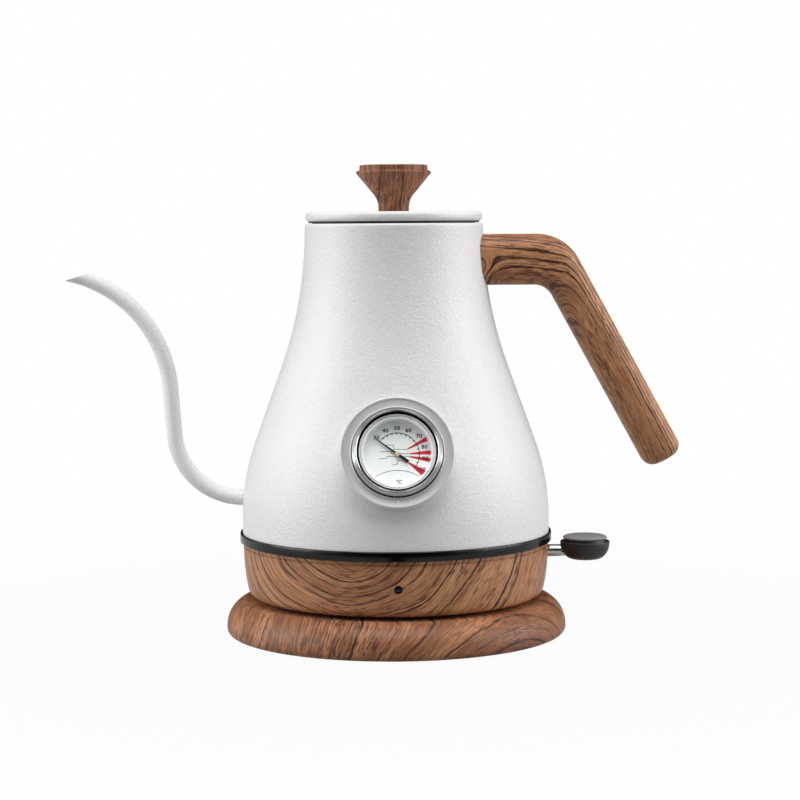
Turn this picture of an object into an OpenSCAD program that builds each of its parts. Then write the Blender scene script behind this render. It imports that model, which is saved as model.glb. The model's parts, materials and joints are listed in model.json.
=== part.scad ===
// Electric gooseneck kettle on a cordless power base.
// Origin: kettle axis, on the plane that the rubber foot ring stands on. +Z up, dial towards -Y,
// spout towards -X, handle and switch lever towards +X. All sizes are in millimetres.

/* [Fits] */
// Running play on the radius of a pin in its bore
pin_play = 0.05; // [0.03:0.01:0.1]
// Gap between pieces that move past each other
run_gap = 0.3; // [0.25:0.05:0.6]
// Gap between two fixed pieces that are fitted together
fit_gap = 0.1; // [0.05:0.05:0.2]

/* [Power base] */
// Largest radius of the power base
base_r = 84.4; // [80:0.2:90]
// Radius of the flat top of the power base
base_top_r = 75.5; // [73:0.5:77]
// Height of the power base without its foot ring
base_h = 17; // [15:0.5:20]
// Height of the widest part above the lower edge
base_belly_h = 4; // [3:0.5:5]
// Rounding of the lower edge
base_edge_r = 3; // [1:0.5:3]
// Wall of the power base shell
base_wall = 2.4; // [1.8:0.2:3]
// Thickness of the bottom plate
plate_t = 2; // [1.5:0.1:2.5]
// Radius of the raised seat that the kettle stands on
seat_r = 54; // [48:1:58]
// Width of the raised seat
seat_w = 6; // [3:0.5:8]
// Shadow gap between power base and kettle housing
stand_gap = 1.6; // [1:0.1:2.4]

/* [Foot ring] */
// How far the rubber foot ring stands proud of the base
foot_proud = 1.5; // [1:0.1:2.5]
// Outer radius of the foot ring
foot_r = 71; // [66:0.5:74]
// Width of the foot ring
foot_w = 8; // [5:0.5:10]
// Number of screws that hold the bottom plate
plate_screws = 4; // [3:1:6]

/* [Cordless connector] */
// Radius of the connector post
post_r = 15.5; // [15:0.1:17]
// Height of the post above the base top
post_h = 13; // [10:0.5:14]
// Radius of the middle contact pin
contact_pin_r = 2; // [1.5:0.1:2.3]
// Mean radius of the inner contact ring
ring_in_r = 6.3; // [6:0.1:6.6]
// Mean radius of the outer contact ring
ring_out_r = 11.3; // [11:0.1:11.8]
// Wall of the contact rings
ring_wall = 0.8; // [0.6:0.1:1]
// Free space on each side of a contact in its groove
groove_gap = 0.6; // [0.4:0.1:0.8]
// Wall of the connector cup on the kettle
cup_wall = 2.4; // [1.6:0.2:3]

/* [Cord outlet] */
// Bore of the gland where a mains cord leaves the base
gland_bore_d = 7; // [6:0.5:8]
// Wall of the gland
gland_wall = 1.5; // [1:0.25:2]
// Height of the gland's axis above the lower edge of the base
gland_h = 7.8; // [7:0.1:8.4]

/* [Lower housing] */
// Radius of the housing under the trim ring
housing_r = 75.7; // [74:0.1:76.5]
// Height of the housing
housing_h = 27.2; // [25:0.2:32]
// Radius of the housing's barrel curve
housing_barrel_r = 95; // [80:1:140]
// Rounding between the housing's side and its bottom
housing_edge_r = 5; // [3:0.5:6]
// Wall of the housing
housing_wall = 2.2; // [1.6:0.1:3]
// Distance of the fine groove below the trim ring
groove_drop = 1.9; // [1:0.1:3]
// Width and depth of the fine groove
groove_w = 0.6; // [0.3:0.1:1]
// Thickness of the bottom cover
cover_t = 2; // [1.5:0.1:2.5]
// Radius of the bottom cover
cover_r = 65; // [63:0.5:66]

/* [Trim ring] */
// Radius of the black trim ring
trim_r = 77.4; // [76.8:0.1:79]
// Height of the trim ring
trim_h = 4.7; // [4:0.1:6]
// Thickness of the web under the kettle body
trim_web = 2.1; // [1.5:0.1:2.5]

/* [Kettle body] */
// Radius of the body at its foot
body_r = 76.1; // [74.5:0.1:76.2]
// Radius of the body at its mouth
mouth_r = 44; // [42:0.1:47]
// Height of the body from its foot to the rim
body_h = 154.9; // [150:0.1:170]
// Height of the straight foot before the shoulder curve starts
body_foot_h = 9.3; // [6:0.1:12]
// Radius of the shoulder curve
shoulder_r = 112; // [100:1:125]
// Slope of the straight side from the vertical, in degrees
side_angle = 19.8; // [18.5:0.1:21.5]
// Wall of the body
body_wall = 0.8; // [0.6:0.1:1.2]
// Radius of the rolled rim
rim_bead_r = 1.3; // [1:0.1:1.6]
// Height of the pot's floor above the foot of the body
floor_lift = 1.4; // [1:0.1:2]

/* [Spout] */
// Outer radius of the spout tube
spout_r = 3.9; // [3.5:0.1:4.5]
// Wall of the spout tube
spout_wall = 0.6; // [0.5:0.1:0.9]
// Height of the spout's root above the foot of the body
spout_root_h = 19.4; // [17:0.1:26]
// Radius of the lower bend
spout_low_r = 34; // [30:0.5:40]
// Turn of the lower bend in degrees
spout_low_turn = 85.7; // [80:0.1:88]
// Length of the straight rise
spout_rise = 23.5; // [10:0.5:30]
// Radius of the gooseneck bend
spout_top_r = 63; // [55:0.5:70]
// Turn of the gooseneck bend in degrees
spout_top_turn = 74.5; // [68:0.1:80]
// Angle of the cut tip to the horizontal
tip_angle = 17; // [10:1:30]

/* [Handle] */
// Height of the arm's middle below the rim
arm_drop = 18.1; // [17:0.1:24]
// Height of the arm
arm_h = 25; // [22:0.5:28]
// Width of the arm at the body
arm_w = 30; // [26:0.5:32]
// Distance of the handle's corner from the axis
corner_x = 79.8; // [76:0.2:86]
// Slope of the grip below the horizontal
grip_slope = 61.4; // [55:0.2:65]
// Thickness of the grip
grip_t = 19.9; // [17:0.1:23]
// Width of the grip
grip_w = 24; // [20:0.5:26]
// Length of the grip from the handle's corner
grip_len = 113.5; // [100:0.5:120]
// Bend radius of the upper edge
bend_out_r = 24; // [20:0.5:30]
// Bend radius of the lower edge
bend_in_r = 11; // [8:0.5:14]
// Rounding of the handle's long edges
grip_round = 8.5; // [6:0.5:9]
// Rounding of the grip's end
grip_end_r = 5.5; // [4:0.5:7]
// Radius of the handle screw
handle_screw_r = 2; // [1.5:0.1:2.5]

/* [Lid] */
// Radius of the lid
lid_r = 43.6; // [42:0.1:44.5]
// Thickness of the lid
lid_t = 4.7; // [4:0.1:6]
// Gap between the rim and the lid's edge
lid_gap = 1; // [0.8:0.1:1.6]
// Sheet thickness of the lid
lid_sheet = 0.8; // [0.6:0.1:1.2]
// Depth of the pan under the lid
pan_depth = 9; // [7:0.5:14]
// Radius of the pan
pan_r = 38.6; // [36:0.1:39]

/* [Lid knob] */
// Radius of the knob's foot
knob_foot_r = 7.5; // [6:0.1:9]
// Height of the straight foot
knob_neck_h = 2; // [1:0.1:4]
// Radius of the knob's flare
knob_flare_r = 10; // [8:0.5:12]
// Slope of the knob's cone from the vertical
knob_angle = 41; // [35:0.5:45]
// Largest radius of the knob
knob_r = 18.5; // [17:0.1:21]
// Height of the knob's rim
knob_rim_h = 1.8; // [1:0.1:3]
// Radius of the raised top
knob_top_r = 16.75; // [14:0.05:17]
// Height of the raised top
knob_top_h = 2.7; // [1:0.1:4]

/* [Dial thermometer] */
// Height of the dial's middle above the foot of the body
dial_h = 47.8; // [40:0.1:55]
// Outer radius of the flange ring
flange_r = 27; // [25:0.1:29]
// How far the flange ring stands off the body
flange_proud = 3; // [2:0.1:4]
// Outer radius of the bezel
bezel_r = 21.2; // [20:0.1:22]
// How far the bezel stands off the flange ring
bezel_proud = 3.2; // [2.5:0.1:4.5]
// Radius of the visible dial face
dial_r = 16; // [14:0.1:17]
// Width of the bright stepped ring round the dial
inner_ring_w = 2.3; // [1:0.1:2.5]
// How deep the dial lies below the top of the bezel
dial_depth = 8.1; // [6:0.1:9]
// Wall of the dial case
case_wall = 0.8; // [0.6:0.1:1.2]
// Thickness of the glass
glass_t = 1; // [0.8:0.1:1.2]
// Thickness of the dial plate
dial_t = 0.5; // [0.4:0.1:0.8]
// Length of the needle from its axis to its tip
needle_len = 12.2; // [9:0.1:13]
// Length of the needle's tail
needle_tail = 6.3; // [4:0.1:8]
// Radius of the needle's shaft
needle_shaft_r = 0.8; // [0.6:0.05:1]
// Direction of the needle on the lowest mark, in degrees from the right
needle_zero = 143.5; // [135:0.5:150]
// Radius of the threaded stem behind the dial
stem_r = 5; // [4:0.1:6]
// Radius of the probe tube
probe_r = 3; // [2.5:0.1:3.5]
// Length of the probe inside the pot
probe_len = 28; // [20:1:32]

/* [Switch lever] */
// Height of the lever's axis above the housing bottom
lever_h = 20.7; // [19:0.1:22]
// Distance of the lever's pivot from the kettle axis
pivot_x = 53; // [52:0.5:54]
// Radius of the steel rod
rod_r = 3; // [2.5:0.1:3.2]
// Distance of the rod's shoulder from the kettle axis
rod_end_x = 82.3; // [80:0.1:83]
// Radius of the thin end of the rod
rod_tip_r = 1.9; // [1.5:0.1:2.2]
// Distance of the paddle's middle from the kettle axis
paddle_x = 94.5; // [93:0.1:97]
// Largest radius of the paddle
paddle_r = 12.3; // [11.5:0.1:13]
// Radius of the pad on top of the paddle
pad_r = 11; // [9:0.1:11.2]
// Radius of the paddle's flat bottom
paddle_foot_r = 6; // [5:0.1:8]
// Height of the paddle under its widest part
paddle_low_h = 8.3; // [7:0.1:9]
// Radius of the pivot pin
pivot_r = 1.5; // [1.2:0.1:1.8]
// Downward travel of the lever in degrees
lever_travel = 7; // [4:0.5:8]

/* [Indicator lamp] */
// Radius of the lamp's lens
lens_r = 1.9; // [1.5:0.1:2.5]
// Height of the lamp above the housing bottom
lens_h = 13.9; // [11:0.1:16]

/* [Heater] */
// Radius of the heat spreading plate
heater_r = 62; // [56:0.5:66]
// Thickness of the heat spreading plate
heater_t = 3; // [2:0.1:3.4]
// Radius of the ring of the heating element
element_ring_r = 38; // [36:0.5:42]
// Radius of the element's tube
element_r = 3.5; // [3:0.1:4]
// Half of the opening angle in the element's ring
element_open = 32; // [28:1:36]
// Distance of the steam tube from the kettle axis
steam_x = 35; // [33:0.5:36]
// Outer radius of the steam tube
steam_r = 3.5; // [3:0.1:4]
// Wall of the steam tube
steam_wall = 0.6; // [0.4:0.1:0.8]

/* [Hidden] */

// Facets of round parts, of small ones, and of the body where thin pieces follow it
$fn = 96;
small_fn = 32;
fine_fn = 240;
arc_steps = 10;
eps = 0.01;

// Colours
wood_color = [0.62, 0.42, 0.29];
white_color = [0.90, 0.90, 0.90];
black_color = [0.10, 0.10, 0.11];
steel_color = [0.72, 0.72, 0.73];
chrome_color = [0.82, 0.82, 0.84];
brass_color = [0.78, 0.62, 0.32];
rubber_color = [0.16, 0.16, 0.17];
alu_color = [0.66, 0.67, 0.69];

// Levels along the kettle axis
base_z = foot_proud;
base_top_z = base_z + base_h;
seat_h = stand_gap - run_gap;
kettle_z = base_top_z + stand_gap;
housing_top_z = kettle_z + housing_h;
body_z = housing_top_z + trim_web;
floor_z = body_z + floor_lift;
rim_z = body_z + body_h;
lid_z = rim_z + lid_gap;
lid_top_z = lid_z + lid_t;
heater_z = body_z + floor_lift - body_wall - heater_t;
post_top_z = base_top_z + post_h;

// Body outline: a straight foot, a shoulder arc, a straight cone and a flared neck arc, all tangent
neck_z = rim_z - rim_bead_r;
shoulder_z = body_z + body_foot_h;
shoulder_c = [body_r - shoulder_r, shoulder_z];
side_dir = [cos(side_angle), sin(side_angle)];
flare_r = (([mouth_r, neck_z] - shoulder_c) * side_dir - shoulder_r) / (1 - cos(side_angle));
flare_c = [mouth_r + flare_r, neck_z];

function arc(c, r, a0, a1, n = arc_steps) =
    [for (i = [0 : n]) let (a = a0 + (a1 - a0) * i / n) [c[0] + r * cos(a), c[1] + r * sin(a)]];

function body_outline(inset, steps = arc_steps) = concat(
    [[body_r - inset, body_z]],
    arc(shoulder_c, shoulder_r - inset, 0, side_angle, steps),
    arc(flare_c, flare_r + inset, 180 + side_angle, 180, steps)
);

// Outer radius of the body at height z
function body_radius(z) =
    let (low = shoulder_c + shoulder_r * side_dir, high = flare_c - flare_r * side_dir)
    z < shoulder_z ? body_r :
    z < low[1] ? shoulder_c[0] + sqrt(pow(shoulder_r, 2) - pow(z - shoulder_z, 2)) :
    z < high[1] ? low[0] + (high[0] - low[0]) * (z - low[1]) / (high[1] - low[1]) :
    flare_c[0] - sqrt(pow(flare_r, 2) - pow(min(z, neck_z) - neck_z, 2));

// A ring with a rectangular section
module ring(r_out, r_in, h) {
    rotate_extrude()
        translate([r_in, 0])
            square([r_out - r_in, h]);
}

module at_circle(r, count, start = 0) {
    for (i = [0 : count - 1])
        rotate([0, 0, start + 360 * i / count])
            translate([r, 0, 0])
                children();
}

// Closed solid through rings of points that all turn the same way
module skin(rings) {
    m = len(rings[0]);
    last = (len(rings) - 1) * m;
    polyhedron(
        points = [for (r = rings, p = r) p],
        faces = concat(
            [[for (j = [m - 1 : -1 : 0]) j]],
            [for (i = [0 : m : last - m], j = [0 : m - 1]) let (k = (j + 1) % m)
                each [[i + j, i + m + k, i + m + j], [i + j, i + k, i + m + k]]],
            [[for (j = [0 : m - 1]) last + j]]
        )
    );
}

// Pan head screw pointing up, with its head under z = 0
module screw(r, len, head_r, head_h) {
    slot_w = r * 0.5;
    difference() {
        union() {
            translate([0, 0, -head_h])
                cylinder(r = head_r, h = head_h, $fn = small_fn);
            translate([0, 0, -eps])
                cylinder(r = r, h = len, $fn = small_fn);
        }
        for (a = [0, 90])
            rotate([0, 0, a])
                translate([-slot_w / 2, -head_r * 0.6, -head_h - eps])
                    cube([slot_w, head_r * 1.2, head_h * 0.6]);
    }
}

// ---------------------------------------------------------------- power base

base_side_h = base_h - base_belly_h;
base_side_r = (pow(base_side_h, 2) + pow(base_r - base_top_r, 2)) / (2 * (base_r - base_top_r));
base_side_a = asin(base_side_h / base_side_r);
base_inner_r = base_r - base_wall - base_edge_r;
screw_r = 1.5;
screw_head_r = 2.9;
screw_head_h = 1.4;
boss_r = 3.6;
base_screw_l = (base_h - base_wall) * 0.65;
base_screw_circle_r = foot_r - foot_w - boss_r - 1;
plate_r = base_inner_r - fit_gap;
bore_z = base_z + gland_h;
gland_r = gland_bore_d / 2 + gland_wall;
gland_lip = 0.6;
gland_lip_t = 2;
gland_in_y = base_inner_r - 3;
gland_out_y = base_r - 1.2;

function base_outline() = concat(
    arc([base_r - base_edge_r, base_z + base_edge_r], base_edge_r, -90, 0, 6),
    arc([base_r - base_side_r, base_z + base_belly_h], base_side_r, 0, base_side_a)
);

module base_solid() {
    rotate_extrude()
        polygon(concat([[0, base_z]], base_outline(), [[0, base_top_z]]));
}

module base_hollow() {
    under_top = base_h - base_wall;
    lean_r = base_top_r - base_wall;
    rotate_extrude()
        polygon([
            [0, base_z - eps],
            [base_inner_r, base_z - eps],
            [base_inner_r, base_z + plate_t + base_wall],
            [base_inner_r, base_z + base_belly_h + base_side_h / 3],
            [lean_r, base_z + under_top],
            [0, base_z + under_top]
        ]);
}

module base_shell() {
    color(wood_color)
    difference() {
        union() {
            difference() {
                base_solid();
                base_hollow();
            }
            translate([0, 0, base_top_z - eps])
                ring(seat_r + seat_w / 2, seat_r - seat_w / 2, seat_h + eps);
            at_circle(base_screw_circle_r, plate_screws, 45)
                translate([0, 0, base_z + plate_t])
                    cylinder(r = boss_r, h = base_h - plate_t - base_wall + eps, $fn = small_fn);
        }
        translate([0, 0, base_z])
            cylinder(r = post_r + fit_gap, h = base_h + seat_h);
        at_circle(base_screw_circle_r, plate_screws, 45)
            translate([0, 0, base_z])
                cylinder(r = screw_r + fit_gap, h = base_h - base_wall - 1, $fn = small_fn);
        translate([0, base_inner_r - 8, bore_z])
            rotate([-90, 0, 0])
                cylinder(r = gland_r + fit_gap, h = 30, $fn = small_fn);
        translate([0, base_inner_r - 8, bore_z])
            rotate([-90, 0, 0])
                cylinder(r = gland_r + gland_lip + fit_gap,
                    h = gland_in_y + gland_lip_t + fit_gap - base_inner_r + 8, $fn = small_fn);
    }
}

module base_bottom_plate() {
    color(black_color)
    difference() {
        translate([0, 0, base_z])
            cylinder(r = plate_r, h = plate_t);
        at_circle(base_screw_circle_r, plate_screws, 45) {
            translate([0, 0, base_z - eps])
                cylinder(r = screw_r + fit_gap, h = plate_t + 1, $fn = small_fn);
            translate([0, 0, base_z - eps])
                cylinder(r = screw_head_r + fit_gap, h = screw_head_h + eps, $fn = small_fn);
        }
        translate([0, 0, base_z - eps])
            ring(foot_r + fit_gap, foot_r - foot_w - fit_gap, plate_t / 2 + eps);
    }
}

module base_foot_ring() {
    foot_edge = 0.6;
    foot_h = foot_proud + plate_t / 2;
    foot_in_r = foot_r - foot_w;
    color(rubber_color)
    rotate_extrude()
        polygon([
            [foot_in_r + foot_edge, 0], [foot_r - foot_edge, 0], [foot_r, foot_edge],
            [foot_r, foot_h], [foot_in_r, foot_h], [foot_in_r, foot_edge]
        ]);
}

module base_screws() {
    color(steel_color)
    at_circle(base_screw_circle_r, plate_screws, 45)
        translate([0, 0, base_z + screw_head_h])
            screw(screw_r, base_screw_l, screw_head_r, screw_head_h);
}

// ---------------------------------------------------------------- cordless connector

post_flange_t = 3;
post_flange_r = post_r + 8;
post_flange_z = base_top_z - base_wall - post_flange_t;
groove_floor_z = base_top_z + 2.5;
pin_hole_r = contact_pin_r + groove_gap * 2;
connector_screw_r = post_r + 4;
ring_half = ring_wall / 2;

module contact_groove(mean_r) {
    half = ring_half + groove_gap;
    translate([0, 0, groove_floor_z])
        ring(mean_r + half, mean_r - half, post_h);
}

module blade_slots(play) {
    blade_t = 0.6 + 2 * play;
    blade_w = 4 + 2 * play;
    for (r = [0, ring_in_r, ring_out_r])
        rotate([0, 0, r * 20])
            translate([r - blade_t / 2, -blade_w / 2, base_z + 5])
                cube([blade_t, blade_w, groove_floor_z - base_z - 4.2]);
}

module base_connector() {
    color(black_color)
    difference() {
        union() {
            translate([0, 0, post_flange_z])
                cylinder(r = post_flange_r, h = post_flange_t);
            translate([0, 0, post_flange_z])
                cylinder(r = post_r, h = post_top_z - post_flange_z);
        }
        translate([0, 0, groove_floor_z])
            cylinder(r = pin_hole_r, h = post_h, $fn = small_fn);
        contact_groove(ring_in_r);
        contact_groove(ring_out_r);
        blade_slots(fit_gap);
        at_circle(connector_screw_r, 3, 30)
            translate([0, 0, post_flange_z - 1])
                cylinder(r = screw_r + fit_gap, h = post_flange_t + 2, $fn = small_fn);
    }
}

module connector_screws() {
    color(steel_color)
    at_circle(connector_screw_r, 3, 30)
        translate([0, 0, post_flange_z])
            screw(screw_r, post_flange_t - fit_gap, screw_head_r, screw_head_h);
}

module base_contacts() {
    color(brass_color)
    blade_slots(0);
}

clamp_y = base_inner_r - 17;
clamp_l = 6;

// The cord's own leads, which stop in the clamp, where its jacket would start
module base_wires() {
    wire_r = 1.1;
    wire_start = ring_out_r + 3;
    color("firebrick")
    for (i = [-1 : 1])
        translate([i * 2.4, wire_start, bore_z])
            rotate([-90, 0, 0])
                cylinder(r = wire_r, h = clamp_y + clamp_l / 2 - wire_start, $fn = small_fn);
}

module cord_gland() {
    color(rubber_color)
    difference() {
        union() {
            translate([0, gland_in_y, bore_z])
                rotate([-90, 0, 0])
                    cylinder(r = gland_r, h = gland_out_y - gland_in_y, $fn = small_fn);
            translate([0, gland_in_y, bore_z])
                rotate([-90, 0, 0])
                    cylinder(r = gland_r + gland_lip, h = gland_lip_t, $fn = small_fn);
        }
        translate([0, gland_in_y - 1, bore_z])
            rotate([-90, 0, 0])
                cylinder(r = gland_bore_d / 2, h = gland_out_y - gland_in_y + 2, $fn = small_fn);
    }
}

module cord_clamp() {
    clamp_w = 22;
    clamp_z = base_z + plate_t + fit_gap;
    color(black_color)
    difference() {
        translate([-clamp_w / 2, clamp_y - clamp_l / 2, clamp_z])
            cube([clamp_w, clamp_l, bore_z - clamp_z + 3.4]);
        translate([0, clamp_y - clamp_l, bore_z])
            rotate([-90, 0, 0])
                cylinder(r = gland_bore_d / 2 + fit_gap, h = clamp_l * 2, $fn = small_fn);
    }
}

// ---------------------------------------------------------------- contacts and control under the pot

cup_in_r = post_r + 2 * run_gap;
cup_out_r = cup_in_r + cup_wall;
roof_z = post_top_z + 2.5;
roof_t = 5;
roof_top_z = roof_z + roof_t;
contact_low_z = groove_floor_z + 2;
ring_seat = 2;
control_screw_circle_r = cup_out_r + 3.6;
lug_r = 3.4;
control_r = control_screw_circle_r + lug_r + 0.8;

module contact_pin() {
    head_r = contact_pin_r + 1.6;
    color(brass_color) {
        translate([0, 0, contact_low_z])
            cylinder(r = contact_pin_r, h = roof_top_z + run_gap - contact_low_z + eps, $fn = small_fn);
        translate([0, 0, roof_top_z + run_gap])
            cylinder(r = head_r, h = 1, $fn = small_fn);
    }
}

module contact_rings() {
    color(brass_color)
    for (r = [ring_in_r, ring_out_r])
        translate([0, 0, contact_low_z])
            ring(r + ring_half, r - ring_half, roof_z + ring_seat - run_gap - contact_low_z);
}

module control_body() {
    color(black_color)
    difference() {
        union() {
            translate([0, 0, kettle_z + 0.4])
                cylinder(r = cup_out_r, h = roof_z - kettle_z);
            translate([0, 0, roof_z])
                cylinder(r = control_r, h = roof_t);
            at_circle(control_screw_circle_r, 3, 60)
                translate([0, 0, roof_z])
                    cylinder(r = lug_r, h = heater_z - roof_z, $fn = small_fn);
            translate([0, 0, roof_top_z - eps])
                ring(disc_r, disc_r - 1.2, disc_z - roof_top_z + eps);
        }
        translate([0, 0, kettle_z])
            cylinder(r = cup_in_r, h = roof_z - kettle_z);
        translate([0, 0, roof_z - 1])
            cylinder(r = contact_pin_r + pin_play, h = roof_t + 2, $fn = small_fn);
        for (r = [ring_in_r, ring_out_r])
            translate([0, 0, roof_z - 1])
                ring(r + ring_half + run_gap, r - ring_half - run_gap, ring_seat + 1);
        at_circle(control_screw_circle_r, 3, 60)
            translate([0, 0, roof_z - 1])
                cylinder(r = screw_r + fit_gap, h = heater_z - roof_z + 2, $fn = small_fn);
    }
}

module control_screws() {
    color(steel_color)
    at_circle(control_screw_circle_r, 3, 60)
        translate([0, 0, roof_z])
            screw(screw_r, heater_z + heater_t / 2 - roof_z, screw_head_r, screw_head_h);
}

disc_r = 11;
disc_t = 0.4;
disc_z = heater_z - 1;
module bimetal_disc() {
    color(chrome_color)
    translate([0, 0, disc_z])
        cylinder(r = disc_r - fit_gap, h = disc_t, $fn = 48);
}

module heating_plate() {
    color(alu_color)
    difference() {
        translate([0, 0, heater_z])
            cylinder(r = heater_r, h = heater_t);
        at_circle(control_screw_circle_r, 3, 60)
            translate([0, 0, heater_z - 1])
                cylinder(r = screw_r + fit_gap, h = heater_t / 2 + 1 + fit_gap, $fn = small_fn);
        translate([steam_x, 0, heater_z - 1])
            cylinder(r = steam_r + fit_gap, h = heater_t + 2, $fn = small_fn);
    }
}

element_leg = 3;
leg_angle = element_open + 6;
leg_r = element_r - 0.5;
module heating_element() {
    color(steel_color) {
        translate([0, 0, heater_z - element_r])
            rotate([0, 0, element_open])
                rotate_extrude(angle = 360 - 2 * element_open)
                    translate([element_ring_r, 0])
                        circle(r = element_r, $fn = small_fn);
        for (s = [-1, 1])
            rotate([0, 0, s * leg_angle])
                translate([element_ring_r, 0, heater_z - 2 * element_r - element_leg])
                    cylinder(r = leg_r, h = element_r + element_leg, $fn = small_fn);
    }
}

module element_terminals() {
    terminal_r = 1.3;
    terminal_len = 5;
    color(chrome_color)
    for (s = [-1, 1])
        rotate([0, 0, s * leg_angle])
            translate([element_ring_r, 0, heater_z - 2 * element_r - element_leg - terminal_len])
                cylinder(r = terminal_r, h = terminal_len, $fn = small_fn);
}

// ---------------------------------------------------------------- pot

module pot_bottom() {
    pot_r = body_r - body_wall - fit_gap;
    flange_h = 4;
    color(steel_color)
    difference() {
        union() {
            translate([0, 0, floor_z - body_wall])
                cylinder(r = pot_r, h = body_wall);
            translate([0, 0, floor_z - eps])
                ring(pot_r, pot_r - body_wall, flange_h);
        }
        translate([steam_x, 0, floor_z - 2])
            cylinder(r = steam_r + fit_gap, h = 4, $fn = small_fn);
    }
}

spout_root_z = body_z + spout_root_h;
spout_root_x = -body_radius(spout_root_z);

module body_shell() {
    outer = body_outline(0);
    inner = body_outline(body_wall);
    color(white_color)
    difference() {
        union() {
            rotate_extrude()
                polygon(concat(outer, [for (i = [len(inner) - 1 : -1 : 0]) inner[i]]));
            rotate_extrude()
                translate([mouth_r - rim_bead_r, neck_z])
                    circle(r = rim_bead_r, $fn = small_fn);
        }
        translate([spout_root_x - 10, 0, spout_root_z])
            rotate([0, 90, 0])
                cylinder(r = spout_r + fit_gap, h = 20, $fn = small_fn);
        on_dial()
            translate([0, 0, -10])
                cylinder(r = well_out_r + fit_gap, h = 20);
    }
}

// Middle line of the spout in the XZ plane: a short stub, the lower bend, a straight rise, the gooseneck bend
spout_inside = 3;
spout_sides = 16;
low_bend_rings = 12;
top_bend_rings = 16;
low_c = [spout_root_x, spout_root_z + spout_low_r];
rise_heading = 180 - spout_low_turn;
rise_dir = [cos(rise_heading), sin(rise_heading)];
rise_start = low_c - spout_low_r * [rise_dir[1], -rise_dir[0]];
rise_end = rise_start + spout_rise * rise_dir;
top_c = rise_end + spout_top_r * [-rise_dir[1], rise_dir[0]];
tip_heading = rise_heading + spout_top_turn;
tip_dir = [cos(tip_heading), sin(tip_heading)];
tip = top_c + spout_top_r * [tip_dir[1], -tip_dir[0]];

// Points on the middle line with their headings, lengthened by over at both ends
function spout_stations(over) = concat(
    [[[spout_root_x + spout_inside + over, spout_root_z], 180]],
    [for (i = [0 : low_bend_rings]) let (turn = spout_low_turn * i / low_bend_rings)
        [low_c + spout_low_r * [-sin(turn), -cos(turn)], 180 - turn]],
    [for (i = [0 : top_bend_rings]) let (h = rise_heading + spout_top_turn * i / top_bend_rings)
        [top_c + spout_top_r * [sin(h), -cos(h)], h]],
    [if (over > 0) [tip + over * tip_dir, tip_heading]]
);

// Rings of a tube of radius r along stations
function tube_rings(stations, r) =
    [for (s = stations) [for (j = [0 : spout_sides - 1]) let (a = 360 * j / spout_sides)
        [s[0][0] - r * cos(a) * sin(s[1]), r * sin(a), s[0][1] + r * cos(a) * cos(s[1])]]];

module spout() {
    lip = tip - spout_r * [tip_dir[1], -tip_dir[0]];
    color(white_color)
    difference() {
        skin(tube_rings(spout_stations(0), spout_r));
        skin(tube_rings(spout_stations(2), spout_r - spout_wall));
        translate([lip[0], -20, lip[1]])
            rotate([0, -tip_angle, 0])
                translate([-10, 0, 0])
                    cube([50, 40, 30]);
    }
}

module trim_ring() {
    bevel = 0.6;
    web_in_r = body_r - 7;
    color(black_color)
    rotate_extrude()
        polygon([
            [web_in_r, housing_top_z],
            [trim_r - bevel, housing_top_z],
            [trim_r, housing_top_z + bevel],
            [trim_r, housing_top_z + trim_h - bevel],
            [trim_r - bevel, housing_top_z + trim_h],
            [body_r + fit_gap, housing_top_z + trim_h],
            [body_r + fit_gap, body_z],
            [web_in_r, body_z]
        ]);
}

// ---------------------------------------------------------------- lower housing

barrel_top_z = housing_top_z - 3.3;
barrel_a = asin((barrel_top_z - kettle_z - housing_edge_r) / (housing_barrel_r - housing_edge_r));
barrel_c = [housing_r - housing_barrel_r, barrel_top_z];
edge_c = barrel_c + (housing_barrel_r - housing_edge_r) * [cos(barrel_a), -sin(barrel_a)];
housing_boss_circle_r = cover_r - boss_r - 0.4;
housing_boss_h = 9;
ledge_r = housing_boss_circle_r - boss_r;
lever_z = kettle_z + lever_h;
lamp_z = kettle_z + lens_h;

function housing_outline(inset) = concat(
    arc(edge_c, housing_edge_r - inset, -90, -barrel_a, 6),
    arc(barrel_c, housing_barrel_r - inset, -barrel_a, 0),
    [[housing_r - inset, housing_top_z]]
);

module housing_hollow() {
    ledge_z = kettle_z + cover_t + housing_wall;
    difference() {
        rotate_extrude()
            polygon(concat([[0, kettle_z]], housing_outline(housing_wall), [[0, housing_top_z]]));
        translate([0, 0, kettle_z - 1])
            cylinder(r = housing_r + 1, h = ledge_z - kettle_z + 1);
    }
    translate([0, 0, housing_top_z - eps])
        cylinder(r = housing_r - housing_wall, h = 1);
}

module lower_housing() {
    lever_slot_h = (housing_r - pivot_x) * tan(lever_travel);
    slot_r = rod_r + run_gap;
    color(wood_color)
    difference() {
        union() {
            difference() {
                rotate_extrude()
                    polygon(concat([[0, kettle_z]], housing_outline(0), [[0, housing_top_z]]));
                housing_hollow();
            }
            at_circle(housing_boss_circle_r, 3, 60)
                translate([0, 0, kettle_z + cover_t + 1])
                    cylinder(r = boss_r, h = housing_boss_h, $fn = small_fn);
        }
        translate([0, 0, kettle_z - 1])
            cylinder(r = cover_r + fit_gap, h = cover_t + 1);
        translate([0, 0, kettle_z - 1])
            cylinder(r = ledge_r, h = 10);
        at_circle(housing_boss_circle_r, 3, 60)
            translate([0, 0, kettle_z])
                cylinder(r = screw_r + fit_gap, h = cover_t + housing_boss_h, $fn = small_fn);
        translate([0, 0, housing_top_z - groove_drop - groove_w / 2])
            ring(housing_r + 1, housing_r - groove_w, groove_w);
        wall_slot(slot_r, lever_slot_h + run_gap);
        translate([0, -housing_r - 1, lamp_z])
            rotate([-90, 0, 0])
                cylinder(r = lens_r + fit_gap, h = 10, $fn = small_fn);
    }
}

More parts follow.
